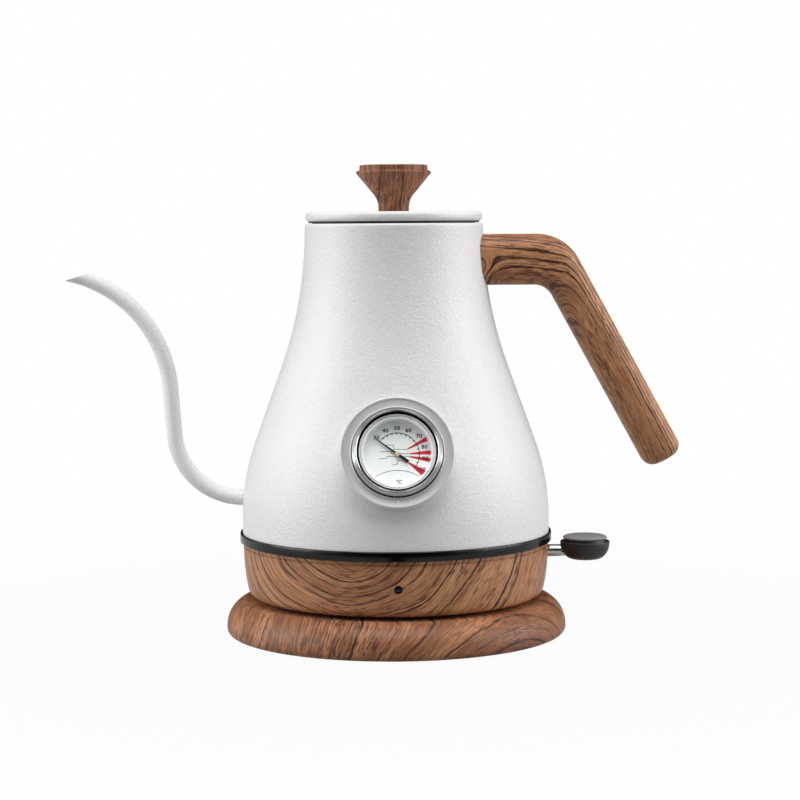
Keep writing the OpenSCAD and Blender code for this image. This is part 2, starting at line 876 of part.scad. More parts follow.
// Upright slot through the housing wall for the lever rod
module wall_slot(r, drop) {
    translate([pivot_x + 12, 0, lever_z])
        rotate([0, 90, 0])
            cylinder(r = r, h = 30, $fn = small_fn);
    translate([pivot_x + 12, 0, lever_z - drop])
        rotate([0, 90, 0])
            cylinder(r = r, h = 30, $fn = small_fn);
    translate([pivot_x + 12, -r, lever_z - drop])
        cube([30, 2 * r, drop]);
}

module bottom_cover() {
    vent_w = 2.4;
    vent_l = 12;
    color(black_color)
    difference() {
        translate([0, 0, kettle_z])
            cylinder(r = cover_r, h = cover_t);
        translate([0, 0, kettle_z - 1])
            cylinder(r = cup_out_r + fit_gap, h = cover_t + 2);
        at_circle(housing_boss_circle_r, 3, 60) {
            translate([0, 0, kettle_z - 1])
                cylinder(r = screw_r + fit_gap, h = cover_t + 2, $fn = small_fn);
            translate([0, 0, kettle_z - 1])
                cylinder(r = screw_head_r + fit_gap, h = screw_head_h + 1, $fn = small_fn);
        }
        for (a = [165 : 15 : 195])
            rotate([0, 0, a])
                translate([36, -vent_w / 2, kettle_z - 1])
                    cube([vent_l, vent_w, cover_t + 2]);
    }
}

module housing_screws() {
    color(steel_color)
    at_circle(housing_boss_circle_r, 3, 60)
        translate([0, 0, kettle_z + screw_head_h])
            screw(screw_r, housing_boss_h - 1, screw_head_r, screw_head_h);
}

// ---------------------------------------------------------------- steam shut-off

steam_low_z = roof_top_z - 1;
module steam_tube() {
    steam_top_z = rim_z - pan_depth - 14;
    color(steel_color)
    translate([steam_x, 0, steam_low_z])
        difference() {
            cylinder(r = steam_r, h = steam_top_z - steam_low_z, $fn = small_fn);
            translate([0, 0, -1])
                cylinder(r = steam_r - steam_wall, h = steam_top_z - steam_low_z + 2, $fn = small_fn);
        }
}

module steam_switch() {
    block_l = 11;
    block_w = 14;
    block_z = kettle_z + cover_t;
    block_top_z = steam_low_z - fit_gap;
    color("dimgray")
    difference() {
        translate([steam_x - block_l / 2, -block_w / 2, block_z])
            cube([block_l, block_w, block_top_z - block_z]);
        translate([steam_x, 0, block_top_z - 3])
            cylinder(r = steam_r, h = 4, $fn = small_fn);
    }
}

// ---------------------------------------------------------------- indicator lamp and wires

lens_front_y = -(barrel_c[0] + sqrt(pow(housing_barrel_r, 2) - pow(barrel_top_z - lamp_z, 2)));
lens_back_y = lens_front_y + housing_wall + 0.8;
module indicator_lens() {
    color(black_color) {
        translate([0, lens_front_y, lamp_z])
            rotate([-90, 0, 0])
                cylinder(r = lens_r, h = lens_back_y - lens_front_y + 1, $fn = small_fn);
        translate([0, lens_back_y, lamp_z])
            rotate([-90, 0, 0])
                cylinder(r = lens_r + 1.2, h = 1.5, $fn = small_fn);
    }
}

lamp_len = 5;
lamp_y = lens_back_y + 1.5;
module indicator_lamp() {
    color("gold")
    translate([0, lamp_y, lamp_z])
        rotate([-90, 0, 0])
            cylinder(r = 1.5, h = lamp_len, $fn = small_fn);
}

module internal_wires() {
    lead_r = 0.45;
    lead_gap = 0.75;
    color("firebrick")
    for (s = [-1, 1])
        translate([s * lead_gap, lamp_y + lamp_len, lamp_z])
            rotate([-90, 0, 0])
                cylinder(r = lead_r, h = -control_r - fit_gap - lamp_y - lamp_len, $fn = small_fn);
}

// ---------------------------------------------------------------- switch lever

hub_r = 4.2;
hub_half = 3.6;
cheek_t = 1.2;
cheek_in = hub_half + run_gap;

module lever_bracket() {
    foot_z = kettle_z + cover_t;
    cheek_l = 7.6;
    cheek_top = lever_z + 3;
    color(steel_color)
    difference() {
        union() {
            for (s = [-1, 1])
                translate([pivot_x - cheek_l / 2, s * (cheek_in + cheek_t / 2) - cheek_t / 2, foot_z])
                    cube([cheek_l, cheek_t, cheek_top - foot_z]);
            translate([pivot_x - cheek_l / 2, -cheek_in - cheek_t, foot_z])
                cube([cheek_l, 2 * (cheek_in + cheek_t), cheek_t]);
        }
        translate([pivot_x, 20, lever_z])
            rotate([90, 0, 0])
                cylinder(r = pivot_r + pin_play, h = 40, $fn = small_fn);
    }
}

module lever_pin() {
    pin_half = cheek_in + cheek_t + 1;
    color(steel_color)
    translate([pivot_x, pin_half, lever_z])
        rotate([90, 0, 0])
            cylinder(r = pivot_r, h = 2 * pin_half, $fn = small_fn);
}

paddle_low_r = paddle_r - paddle_foot_r;
paddle_low_z = lever_z - 4.3;
paddle_wide_z = paddle_low_z + paddle_low_h;
pad_t = 2;
pad_z = paddle_wide_z + 1.6;
stub_end_x = paddle_x - paddle_foot_r;

module lever_rod() {
    tail_l = 8;
    tail_t = 2;
    color(steel_color)
    difference() {
        union() {
            translate([pivot_x, 0, lever_z])
                rotate([0, 90, 0])
                    cylinder(r = rod_r, h = rod_end_x - pivot_x, $fn = small_fn);
            translate([pivot_x, 0, lever_z - 0.9])
                rotate([0, 90, 0])
                    cylinder(r = rod_tip_r, h = stub_end_x - pivot_x, $fn = small_fn);
            translate([pivot_x, hub_half, lever_z])
                rotate([90, 0, 0])
                    cylinder(r = hub_r, h = 2 * hub_half, $fn = small_fn);
            translate([pivot_x - hub_r - tail_l, -hub_half, lever_z - tail_t / 2])
                cube([tail_l + hub_r, 2 * hub_half, tail_t]);
        }
        translate([pivot_x, hub_half + 1, lever_z])
            rotate([90, 0, 0])
                cylinder(r = pivot_r + pin_play, h = 2 * hub_half + 2, $fn = small_fn);
    }
}

module lever_paddle() {
    bore_r = rod_tip_r + fit_gap;
    neck_r = pad_r - 0.8;
    color(black_color)
    translate([paddle_x, 0, 0])
        difference() {
            rotate_extrude($fn = 64)
                polygon(concat(
                    [[0, paddle_low_z], [paddle_foot_r, paddle_low_z]],
                    [for (i = [1 : 8]) let (a = 90 * i / 8)
                        [paddle_foot_r + paddle_low_r * sin(a), paddle_wide_z - paddle_low_h * cos(a)]],
                    [[paddle_r, paddle_wide_z + 0.5], [pad_r, pad_z], [neck_r, pad_z], [0, pad_z]]
                ));
            translate([-paddle_r - 1, 0, lever_z - 0.9])
                rotate([0, 90, 0])
                    cylinder(r = bore_r, h = paddle_r + 1 - paddle_foot_r + fit_gap, $fn = small_fn);
        }
}

module paddle_pad() {
    edge = 0.7;
    color("gray")
    translate([paddle_x, 0, pad_z])
        rotate_extrude($fn = 64)
            polygon([[0, 0], [pad_r - edge, 0], [pad_r, edge], [pad_r - edge / 2, pad_t - 0.3],
                     [pad_r - 2 * edge, pad_t], [0, pad_t]]);
}

// ---------------------------------------------------------------- handle

arm_z = rim_z - arm_drop;
arm_in_x = 30;
slope_dir = [cos(grip_slope), -sin(grip_slope)];
corner_out = [corner_x + sin(grip_slope) * grip_t / 2
              + (cos(grip_slope) * grip_t - arm_h) / 2 / tan(grip_slope), arm_z + arm_h / 2];
corner_in = [corner_x - sin(grip_slope) * grip_t / 2
             - (cos(grip_slope) * grip_t - arm_h) / 2 / tan(grip_slope), arm_z - arm_h / 2];
arm_rings = 3;
bend_rings = 8;
grip_rings = 5;
end_rings = 4;
corner_pts = 5;

// Start of the bend on an edge whose straight lines meet at corner c
function bend_start(c, r) = [c[0] - r * tan(grip_slope / 2), c[1]];
function bend_point(c, r, a) = bend_start(c, r) + [r * sin(a), r * cos(a) - r];
function edge_end(c, r, along) =
    let (p = bend_point(c, r, grip_slope))
    p + slope_dir * (along - (p - [corner_x, arm_z]) * slope_dir);

// Upper or lower edge of the handle for each ring: arm, bend, then grip
function handle_edge(c, r) = concat(
    [for (i = [0 : arm_rings - 1])
        [arm_in_x + (bend_start(c, r)[0] - arm_in_x) * i / arm_rings, c[1]]],
    [for (i = [0 : bend_rings]) bend_point(c, r, grip_slope * i / bend_rings)],
    [for (i = [1 : grip_rings])
        let (p = bend_point(c, r, grip_slope), q = edge_end(c, r, grip_len - grip_end_r))
        p + (q - p) * i / grip_rings]
);

// Rounded rectangle between the edge points p and q, w wide, shrunk by s and moved by d
function handle_ring(p, q, w, s, d) =
    let (mid = (p + q) / 2 + d, half = norm(p - q) / 2 - s, dir = (p - q) / norm(p - q),
         hw = w / 2 - s, rc = min(grip_round, half - 0.5, hw - 0.5))
    [for (k = [0 : 3], i = [0 : corner_pts])
        let (a = 90 * k + 90 * i / corner_pts,
             u = (k == 0 || k == 3 ? 1 : -1) * (half - rc) + rc * cos(a),
             v = (k < 2 ? 1 : -1) * (hw - rc) + rc * sin(a))
        [mid[0] + dir[0] * u, v, mid[1] + dir[1] * u]];

module handle_form() {
    top = handle_edge(corner_out, bend_out_r);
    low = handle_edge(corner_in, bend_in_r);
    n = len(top);
    last = n - 1;
    taper = arm_rings + bend_rings;
    rings = concat(
        [for (i = [0 : last])
            handle_ring(top[i], low[i], arm_w + (grip_w - arm_w) * min(1, i / taper), 0, [0, 0])],
        [for (i = [1 : end_rings]) let (a = 80 * i / end_rings)
            handle_ring(top[last], low[last], grip_w, grip_end_r * (1 - cos(a)),
                slope_dir * grip_end_r * sin(a))]
    );
    skin(rings);
}

// Cone that follows the body behind the handle, grown by g
module neck_cone(g) {
    low = arm_z - arm_h;
    high = arm_z + arm_h;
    z0 = max(low, body_z);
    z1 = min(high, neck_z);
    translate([0, 0, z0])
        cylinder(r1 = body_radius(z0) + g, r2 = body_radius(z1) + g, h = z1 - z0);
}

tongue_w = 10;
tongue_h = 8;
saddle_t = 1.2;
saddle_w = 16;
saddle_h = 16;
tongue_end_x = corner_x - bend_in_r - 4;
handle_screw_x = tongue_end_x - 8;
head_recess = 4;
handle_head_r = handle_screw_r + 1.7;
handle_head_h = 2;
arm_low_z = arm_z - arm_h / 2;

module handle_grip() {
    color(wood_color)
    difference() {
        handle_form();
        translate([0, 0, -eps])
            neck_cone(fit_gap);
        // pocket for the bracket's saddle and tongue
        intersection() {
            neck_cone(saddle_t + 2 * fit_gap);
            translate([0, -saddle_w / 2 - fit_gap, arm_z - saddle_h / 2 - fit_gap])
                cube([80, saddle_w + 2 * fit_gap, saddle_h + 2 * fit_gap]);
        }
        translate([arm_in_x, -tongue_w / 2 - fit_gap, arm_z - tongue_h / 2 - fit_gap])
            cube([tongue_end_x - arm_in_x + fit_gap, tongue_w + 2 * fit_gap, tongue_h + 2 * fit_gap]);
        translate([handle_screw_x, 0, arm_low_z - 1])
            cylinder(r = handle_head_r + fit_gap, h = head_recess + 1, $fn = small_fn);
        translate([handle_screw_x, 0, arm_low_z - 1])
            cylinder(r = handle_screw_r + fit_gap, h = arm_h / 2, $fn = small_fn);
    }
}

module handle_bracket() {
    color(steel_color)
    difference() {
        union() {
            intersection() {
                difference() {
                    neck_cone(saddle_t + fit_gap);
                    neck_cone(fit_gap);
                }
                translate([20, -saddle_w / 2, arm_z - saddle_h / 2])
                    cube([60, saddle_w, saddle_h]);
            }
            difference() {
                translate([arm_in_x, -tongue_w / 2, arm_z - tongue_h / 2])
                    cube([tongue_end_x - arm_in_x, tongue_w, tongue_h]);
                neck_cone(fit_gap);
            }
        }
        translate([handle_screw_x, 0, arm_z - arm_h])
            cylinder(r = handle_screw_r + fit_gap, h = 2 * arm_h, $fn = small_fn);
    }
}

module handle_screw() {
    head_z = arm_low_z + head_recess;
    color(steel_color)
    translate([handle_screw_x, 0, head_z])
        screw(handle_screw_r, arm_z + tongue_h / 2 - head_z, handle_head_r, handle_head_h);
}

// ---------------------------------------------------------------- dial thermometer

dial_z = body_z + dial_h;
dial_y = -body_radius(dial_z);
case_r = bezel_r - 1;
bezel_top = flange_proud + bezel_proud;
bezel_lip = 0.7;
gasket_t = 0.9;
shelf_z = gasket_t + case_wall;
glass_low = bezel_top - bezel_lip - glass_t;
plate_top = bezel_top - dial_depth;
plate_low = plate_top - dial_t;
case_low = plate_low - case_wall;
inner_ring_r = dial_r + inner_ring_w;
sleeve_t = 0.5;
well_r = dial_r + sleeve_t + fit_gap;
well_out_r = well_r + case_wall;
clamp_low_z = case_low - fit_gap - 1.6;

// Local frame of the dial: +Z out of the body, +Y up the body's side
module on_dial() {
    translate([0, dial_y, dial_z])
        rotate([90 - side_angle, 0, 0])
            children();
}

module body_solid(grow) {
    rotate_extrude($fn = fine_fn)
        polygon(concat([[0, body_z]], body_outline(-grow), [[0, neck_z]]));
}

module gauge_flange() {
    depth = 12;
    edge = 0.9;
    sunk_z = flange_proud - 0.6;
    lip_r = bezel_r + 1.1;
    color(chrome_color)
    difference() {
        on_dial()
            rotate_extrude()
                polygon(concat(
                    [[bezel_r + run_gap, -depth], [flange_r, -depth]],
                    arc([flange_r - edge, flange_proud - edge], edge, 0, 90, 5),
                    [[flange_r - 1.6, flange_proud], [flange_r - 2.3, sunk_z], [lip_r + 0.3, sunk_z],
                     [lip_r, flange_proud - 0.1], [bezel_r + run_gap, flange_proud - 0.1]]
                ));
        body_solid(fit_gap / 2);
    }
}

module gauge_gasket() {
    color(rubber_color)
    difference() {
        on_dial()
            translate([0, 0, -6])
                ring(case_r - 1, well_out_r + fit_gap, 6 + gasket_t);
        body_solid(fit_gap / 2);
    }
}

// Stepped cup: a wide shelf in front of the wall and a well through it, with the dial at the bottom
module gauge_case() {
    color(chrome_color)
    on_dial()
        rotate_extrude()
            polygon([
                [probe_r + fit_gap, case_low], [well_out_r, case_low], [well_out_r, gasket_t],
                [case_r, gasket_t], [case_r, glass_low], [case_r - case_wall, glass_low],
                [case_r - case_wall, shelf_z], [well_r, shelf_z], [well_r, plate_low],
                [probe_r + fit_gap, plate_low]
            ]);
}

module gauge_bezel() {
    in_r = inner_ring_r + 0.7;
    color(chrome_color)
    on_dial()
        rotate_extrude()
            polygon([
                [case_r + fit_gap, flange_proud - 1.6],
                [bezel_r, flange_proud - 1.6],
                [bezel_r, bezel_top - 1.2],
                [bezel_r - 0.5, bezel_top - 0.4],
                [bezel_r - 1.2, bezel_top],
                [in_r + 0.3, bezel_top],
                [in_r, bezel_top - 0.3],
                [in_r, bezel_top - bezel_lip],
                [case_r + fit_gap, bezel_top - bezel_lip]
            ]);
}

module gauge_glass() {
    color([0.85, 0.92, 0.95, 0.4])
    on_dial()
        translate([0, 0, glass_low])
            cylinder(r = case_r - fit_gap, h = glass_t);
}

module gauge_seal_ring() {
    color(black_color)
    on_dial()
        translate([0, 0, shelf_z])
            ring(case_r - case_wall - fit_gap, inner_ring_r + fit_gap, glass_low - shelf_z);
}

// Bright ring: a sleeve down to the dial and a stepped rim on the shelf of the case
module gauge_inner_ring() {
    step_r = dial_r + inner_ring_w * 0.6;
    low_z = shelf_z + 1.4;
    high_z = glass_low - 0.5;
    color(chrome_color)
    on_dial()
        rotate_extrude()
            polygon([
                [dial_r, plate_top],
                [dial_r + sleeve_t, plate_top],
                [dial_r + sleeve_t, shelf_z],
                [inner_ring_r, shelf_z],
                [inner_ring_r, high_z],
                [step_r, high_z],
                [step_r - 0.1, low_z],
                [dial_r + 0.2, low_z],
                [dial_r, low_z - 0.3]
            ]);
}

module gauge_dial() {
    color("white")
    on_dial()
        difference() {
            translate([0, 0, plate_low])
                cylinder(r = well_r - fit_gap, h = dial_t);
            translate([0, 0, plate_low - 1])
                cylinder(r = needle_shaft_r + pin_play, h = 3, $fn = small_fn);
        }
}

needle_low = plate_top + run_gap + 0.5;
needle_t = 0.4;
needle_eye_r = needle_shaft_r + 0.35;
module gauge_needle() {
    root_w = 1;
    tip_w = 0.3;
    tail_w = 1.9;
    color(black_color)
    on_dial()
        rotate([0, 0, needle_zero])
            translate([0, 0, needle_low])
                difference() {
                    linear_extrude(needle_t) {
                        polygon([
                            [-needle_tail, -tail_w / 2], [-1, -tail_w * 0.35], [0, -root_w / 2],
                            [needle_len, -tip_w / 2], [needle_len, tip_w / 2],
                            [0, root_w / 2], [-1, tail_w * 0.35], [-needle_tail, tail_w / 2]
                        ]);
                        circle(r = needle_eye_r, $fn = small_fn);
                    }
                    translate([0, 0, -1])
                        cylinder(r = needle_shaft_r + 0.02, h = 3, $fn = small_fn);
                }
}

module needle_hub() {
    color(brass_color)
    on_dial() {
        translate([0, 0, plate_low - 0.6])
            cylinder(r = needle_shaft_r, h = needle_low + needle_t - plate_low + 0.6 + eps, $fn = small_fn);
        translate([0, 0, needle_low + needle_t])
            cylinder(r = needle_eye_r, h = 0.5, $fn = small_fn);
        translate([0, 0, needle_low - 0.5])
            cylinder(r = needle_eye_r, h = 0.5, $fn = small_fn);
    }
}

nut_t = 4;
module gauge_stem() {
    thread_low = clamp_low_z - nut_t - 1;
    color(steel_color)
    on_dial()
        difference() {
            union() {
                translate([0, 0, thread_low])
                    cylinder(r = stem_r, h = case_low - thread_low, $fn = 48);
                translate([0, 0, -probe_len])
                    cylinder(r = probe_r, h = probe_len + plate_low, $fn = small_fn);
            }
            translate([0, 0, -probe_len + 1])
                cylinder(r = probe_r - 0.6, h = probe_len + 20, $fn = small_fn);
        }
}

module bimetal_coil() {
    coil_r = probe_r - 1.3;
    turns = 8;
    pitch = 2.2;
    color(brass_color)
    on_dial()
        for (i = [0 : turns - 1])
            translate([0, 0, -probe_len + 3 + i * pitch])
                difference() {
                    cylinder(r = coil_r + 0.3, h = pitch, $fn = small_fn);
                    translate([0, 0, -1])
                        cylinder(r = coil_r - 0.3, h = pitch + 2, $fn = small_fn);
                }
}

// Clamp plate inside the body: a cup round the well, with its rim against the wall
module gauge_washer() {
    rim_w = 3;
    color(steel_color)
    intersection() {
        on_dial()
            difference() {
                translate([0, 0, clamp_low_z])
                    ring(well_out_r + fit_gap + rim_w, stem_r + fit_gap, 10);
                translate([0, 0, case_low - fit_gap])
                    cylinder(r = well_out_r + fit_gap, h = 20);
            }
        body_solid(-body_wall - fit_gap);
    }
}

module gauge_nut() {
    nut_across = 17;
    color(steel_color)
    on_dial()
        translate([0, 0, clamp_low_z - nut_t])
            difference() {
                cylinder(d = nut_across / cos(30), h = nut_t, $fn = 6);
                translate([0, 0, -1])
                    cylinder(r = stem_r + fit_gap, h = nut_t + 2, $fn = 48);
            }
}

// ---------------------------------------------------------------- lid

lid_edge_r = lid_t / 2 - 0.4;
lid_hole_r = 2;
mouth_in_r = mouth_r - 2 * rim_bead_r;

function lid_outline(inset) = concat(
    [[lid_r - lid_edge_r, lid_z + inset]],
    arc([lid_r - lid_edge_r, lid_z + lid_edge_r], lid_edge_r - inset, -90, 0, 5),
    arc([lid_r - lid_edge_r, lid_top_z - lid_edge_r], lid_edge_r - inset, 0, 90, 5)
);

module lid_top() {
    color(white_color)
    difference() {
        rotate_extrude()
            polygon(concat([[0, lid_z]], lid_outline(0), [[0, lid_top_z]]));
        rotate_extrude()
            polygon(concat([[0, lid_z + lid_sheet]], lid_outline(lid_sheet), [[0, lid_top_z - lid_sheet]]));
        translate([0, 0, lid_z - 1])
            cylinder(r = pan_r - lid_sheet, h = 1 + lid_t - lid_sheet);
        translate([0, 0, lid_z])
            cylinder(r = lid_hole_r + fit_gap, h = lid_t + 1, $fn = small_fn);
    }
}

module lid_pan() {
    pan_round = 3;
    pan_low_z = lid_z - pan_depth;
    color(steel_color)
    difference() {
        rotate_extrude()
            polygon(concat(
                [[0, pan_low_z]],
                arc([pan_r - pan_round, pan_low_z + pan_round], pan_round, -90, 0, 5),
                [[pan_r, lid_z], [0, lid_z]]
            ));
        rotate_extrude()
            polygon(concat(
                [[0, pan_low_z + lid_sheet]],
                arc([pan_r - pan_round, pan_low_z + pan_round], pan_round - lid_sheet, -90, 0, 5),
                [[pan_r - lid_sheet, lid_z + 1], [0, lid_z + 1]]
            ));
    }
}

module lid_seal() {
    seal_in_r = pan_r + fit_gap;
    seal_out_r = mouth_in_r - run_gap;
    flap_r = lid_r - lid_edge_r + 0.5;
    seal_low_z = rim_z - 5;
    fins = 3;
    color(rubber_color) {
        translate([0, 0, rim_z + run_gap])
            ring(flap_r, seal_in_r, lid_gap - run_gap);
        translate([0, 0, seal_low_z])
            ring(seal_out_r - 0.8, seal_in_r, rim_z + run_gap - seal_low_z + eps);
        for (i = [0 : fins - 1])
            translate([0, 0, seal_low_z + 0.3 + i * 1.6])
                ring(seal_out_r, seal_in_r, 0.7);
    }
}

knob_arc_c = [knob_foot_r + knob_flare_r, lid_top_z + knob_neck_h];
knob_arc_end = knob_arc_c + knob_flare_r * [-cos(knob_angle), sin(knob_angle)];
knob_rim_low_z = knob_arc_end[1] + (knob_r - knob_arc_end[0]) / tan(knob_angle);
knob_rim_z = knob_rim_low_z + knob_rim_h;
knob_z = knob_rim_z + knob_top_h;

module lid_knob() {
    edge = 0.8;
    step = 0.4;
    color(wood_color)
    difference() {
        rotate_extrude()
            polygon(concat(
                [[0, lid_top_z], [knob_foot_r, lid_top_z]],
                arc(knob_arc_c, knob_flare_r, 180, 180 - knob_angle, 6),
                arc([knob_r - edge, knob_rim_low_z + edge], edge, -knob_angle, 90, 4),
                [[knob_top_r + step, knob_rim_z], [knob_top_r, knob_rim_z + step]],
                arc([knob_top_r - edge, knob_z - edge], edge, 0, 90, 4),
                [[0, knob_z]]
            ));
        translate([0, 0, lid_top_z - 1])
            cylinder(r = lid_hole_r, h = 15, $fn = small_fn);
    }
}

washer_t = 0.8;
module knob_washer() {
    color(steel_color)
    translate([0, 0, lid_top_z - lid_sheet - washer_t])
        ring(lid_hole_r + 3, lid_hole_r + fit_gap, washer_t);
}

module knob_screw() {
    color(steel_color)
    translate([0, 0, lid_top_z - lid_sheet - washer_t])
        screw(lid_hole_r - fit_gap, 12, lid_hole_r + 1.8, 1.8);
}

// ---------------------------------------------------------------- nodes

base_shell();
base_bottom_plate();
base_foot_ring();
base_screws();
base_connector();
connector_screws();
base_contacts();
base_wires();
cord_gland();
cord_clamp();
contact_pin();
contact_rings();
control_body();
control_screws();
bimetal_disc();
heating_plate();
heating_element();
element_terminals();
pot_bottom();
body_shell();
spout();
trim_ring();
lower_housing();
bottom_cover();
housing_screws();
steam_tube();
steam_switch();
indicator_lens();
indicator_lamp();
internal_wires();
lever_bracket();
lever_pin();
lever_rod();
lever_paddle();
paddle_pad();
handle_grip();
handle_bracket();
handle_screw();
gauge_flange();
gauge_gasket();
gauge_case();
gauge_bezel();
gauge_glass();
gauge_seal_ring();
gauge_inner_ring();
gauge_dial();
gauge_needle();
needle_hub();
gauge_stem();
bimetal_coil();
gauge_washer();
gauge_nut();
lid_top();
lid_pan();
lid_seal();
lid_knob();
knob_screw();
knob_washer();
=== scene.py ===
"""Dresses the gooseneck kettle: textured paint, wood-effect film, metals, the printed dial and the studio."""

import json
from math import asin, cos, degrees, pi, radians, sin, sqrt, tan

import bmesh
import bpy
from mathutils import Matrix, Vector


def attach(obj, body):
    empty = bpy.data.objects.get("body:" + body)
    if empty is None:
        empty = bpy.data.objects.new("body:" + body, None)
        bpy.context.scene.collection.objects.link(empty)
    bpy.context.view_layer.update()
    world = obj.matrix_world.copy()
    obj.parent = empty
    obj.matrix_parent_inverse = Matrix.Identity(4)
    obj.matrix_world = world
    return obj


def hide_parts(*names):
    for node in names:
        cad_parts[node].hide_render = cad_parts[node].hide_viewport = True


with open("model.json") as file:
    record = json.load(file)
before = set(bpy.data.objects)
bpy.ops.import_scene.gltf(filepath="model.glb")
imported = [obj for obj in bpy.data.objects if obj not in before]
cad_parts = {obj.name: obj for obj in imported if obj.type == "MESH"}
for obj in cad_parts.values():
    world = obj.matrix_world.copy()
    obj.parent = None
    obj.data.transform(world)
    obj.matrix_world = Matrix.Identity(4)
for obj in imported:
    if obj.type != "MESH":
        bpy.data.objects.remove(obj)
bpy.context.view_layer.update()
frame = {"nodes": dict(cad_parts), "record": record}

MM = 0.001

# ---------------------------------------------------------------- sizes in mm, as the solids have them

FIT_GAP = 0.1
RUN_GAP = 0.3

# power base
BASE_Z = 1.5
BASE_R = 84.4
BASE_TOP_R = 75.5
BASE_H = 17
BASE_BELLY_H = 4
BASE_EDGE_R = 3
BASE_CREASE_R = 0.5
BASE_WALL = 2.4
BASE_TOP_Z = BASE_Z + BASE_H
SEAT_R = 54
SEAT_W = 6
SEAT_H = 1.3
SEAT_EDGE_R = 0.4
POST_R = 15.5
GLAND_Z = 9.3
GLAND_R = 5.1
GLAND_LIP_R = 5.7
GLAND_LIP_IN = 0.9

# lower housing, trim ring and lamp lens
KETTLE_Z = 20.1
HOUSING_R = 75.7
HOUSING_TOP_Z = 47.3
HOUSING_BARREL_R = 95
HOUSING_BAND_H = 3.3
HOUSING_EDGE_R = 5
HOUSING_WALL = 2.2
BARREL_TOP_Z = HOUSING_TOP_Z - HOUSING_BAND_H
GROOVE_TOP_Z = HOUSING_TOP_Z - 1.6
GROOVE_LOW_Z = HOUSING_TOP_Z - 2.2
GROOVE_DEPTH = 0.55
LEDGE_IN_R = 57.4
COVER_R = 65
COVER_T = 2
TRIM_R = 77.4
TRIM_H = 4.7
TRIM_EDGE_R = 0.6
TRIM_DEPTH = 7
LAMP_Z = 34
LENS_R = 1.9
LENS_FACE = 3.6

# pot and spout
BODY_Z = 49.4
BODY_R = 76.1
BODY_FOOT_H = 9.3
BODY_WALL = 0.8
MOUTH_R = 44
RIM_Z = 204.3
RIM_BEAD_R = 1.3
RIM_BEAD_TURN = 292
SHOULDER_R = 112
SIDE_ANGLE = 19.8
SPOUT_R = 3.9
SPOUT_WALL = 0.6
SPOUT_ROOT_H = 19.4
SPOUT_ROOT_IN = 3
SPOUT_LOW_R = 34
SPOUT_LOW_TURN = 85.7
SPOUT_RISE = 23.5
SPOUT_TOP_R = 63
SPOUT_TOP_TURN = 74.5
TIP_ANGLE = 17

# handle
ARM_DROP = 18.1
ARM_Z = RIM_Z - ARM_DROP
ARM_H = 25
ARM_W = 30
ARM_IN_X = 30
CORNER_X = 79.8
GRIP_SLOPE = radians(61.4)
GRIP_T = 19.9
GRIP_W = 24
GRIP_LEN = 113.37
BEND_OUT_R = 24
BEND_IN_R = 11
GRIP_ROUND = 8.5
GRIP_END_R = 5.5
GRIP_END_TURN = 84
SCREW_FROM_BEND = 12
HANDLE_SCREW_X = CORNER_X - BEND_IN_R - SCREW_FROM_BEND
HANDLE_HEAD_R = 3.7
HEAD_RECESS = 4

# lid and knob
LID_Z = 205.3
LID_T = 4.7
LID_TOP_Z = LID_Z + LID_T
LID_R = 43.6
LID_EDGE_R = LID_T / 2 - 0.4
LID_SHEET = 0.8
LID_HOLE_R = 2.1
PAN_R = 38.6
KNOB_FOOT_R = 7.5
KNOB_NECK_H = 2
KNOB_FLARE_R = 10
KNOB_ANGLE = 41
KNOB_R = 18.5
KNOB_RIM_H = 1.8
KNOB_TOP_R = 16.75
KNOB_TOP_H = 2.7
KNOB_EDGE_R = 0.8

# dial thermometer, with heights over the pot's wall
DIAL_H = 47.8
FLANGE_R = 27
FLANGE_PROUD = 3
FLANGE_EDGE_R = 0.8
BEZEL_R = 21.2
BEZEL_TOP = 6.2
BEZEL_T = 0.9
BEZEL_LIP_R = 0.35
DIAL_R = 16
INNER_RING_R = 18.3
WELL_R = 16.6
WELL_OUT_R = 17.4
SHELF_Z = 1.7
CASE_IN_R = 19.4
GLASS_LOW = 4.5
GLASS_T = 1
PLATE_TOP = -1.9
PLATE_T = 0.5
SHAFT_R = 0.85
BLADE_LOW = PLATE_TOP + 0.8
BLADE_T = 0.4
NEEDLE_ZERO = 143.5
SCALE_R = 10.4
SCALE_FROM = 142.2
SCALE_SWEEP = 178.3
INK_T = 0.03

# switch lever
LEVER_Z = 40.8
LEVER_PIN_X = 53
LEVER_TRIP = 7
ROD_R = 3
ROD_DROP = 0.9
PADDLE_X = 94.5
PADDLE_R = 12.3
PADDLE_FOOT_R = 6
PADDLE_BOWL_H = 8.3
PADDLE_LOW_Z = LEVER_Z - 4.3
PADDLE_WIDE_Z = PADDLE_LOW_Z + PADDLE_BOWL_H
PAD_Z = PADDLE_WIDE_Z + 1.6
PAD_R = 11
PAD_T = 2
LEVER_DROP = (HOUSING_R - LEVER_PIN_X) * tan(radians(LEVER_TRIP)) + RUN_GAP

# ---------------------------------------------------------------- mesh making

BIG_TURN, DIAL_TURN, SMALL_TURN = 256, 192, 128
FOLD_ANGLE = 32


def add_object(name, data):
    """Puts a mesh, curve, lamp or camera into the scene."""
    obj = bpy.data.objects.new(name, data)
    bpy.context.scene.collection.objects.link(obj)
    return obj


def mesh_piece(name, points, faces, place=None):
    """A mesh object from points in millimetres, moved to its place."""
    mesh = bpy.data.meshes.new(name)
    mesh.from_pydata([Vector(p) * MM for p in points], [], faces)
    mesh.update()
    if place is not None:
        mesh.transform(place)
    return add_object(name, mesh)


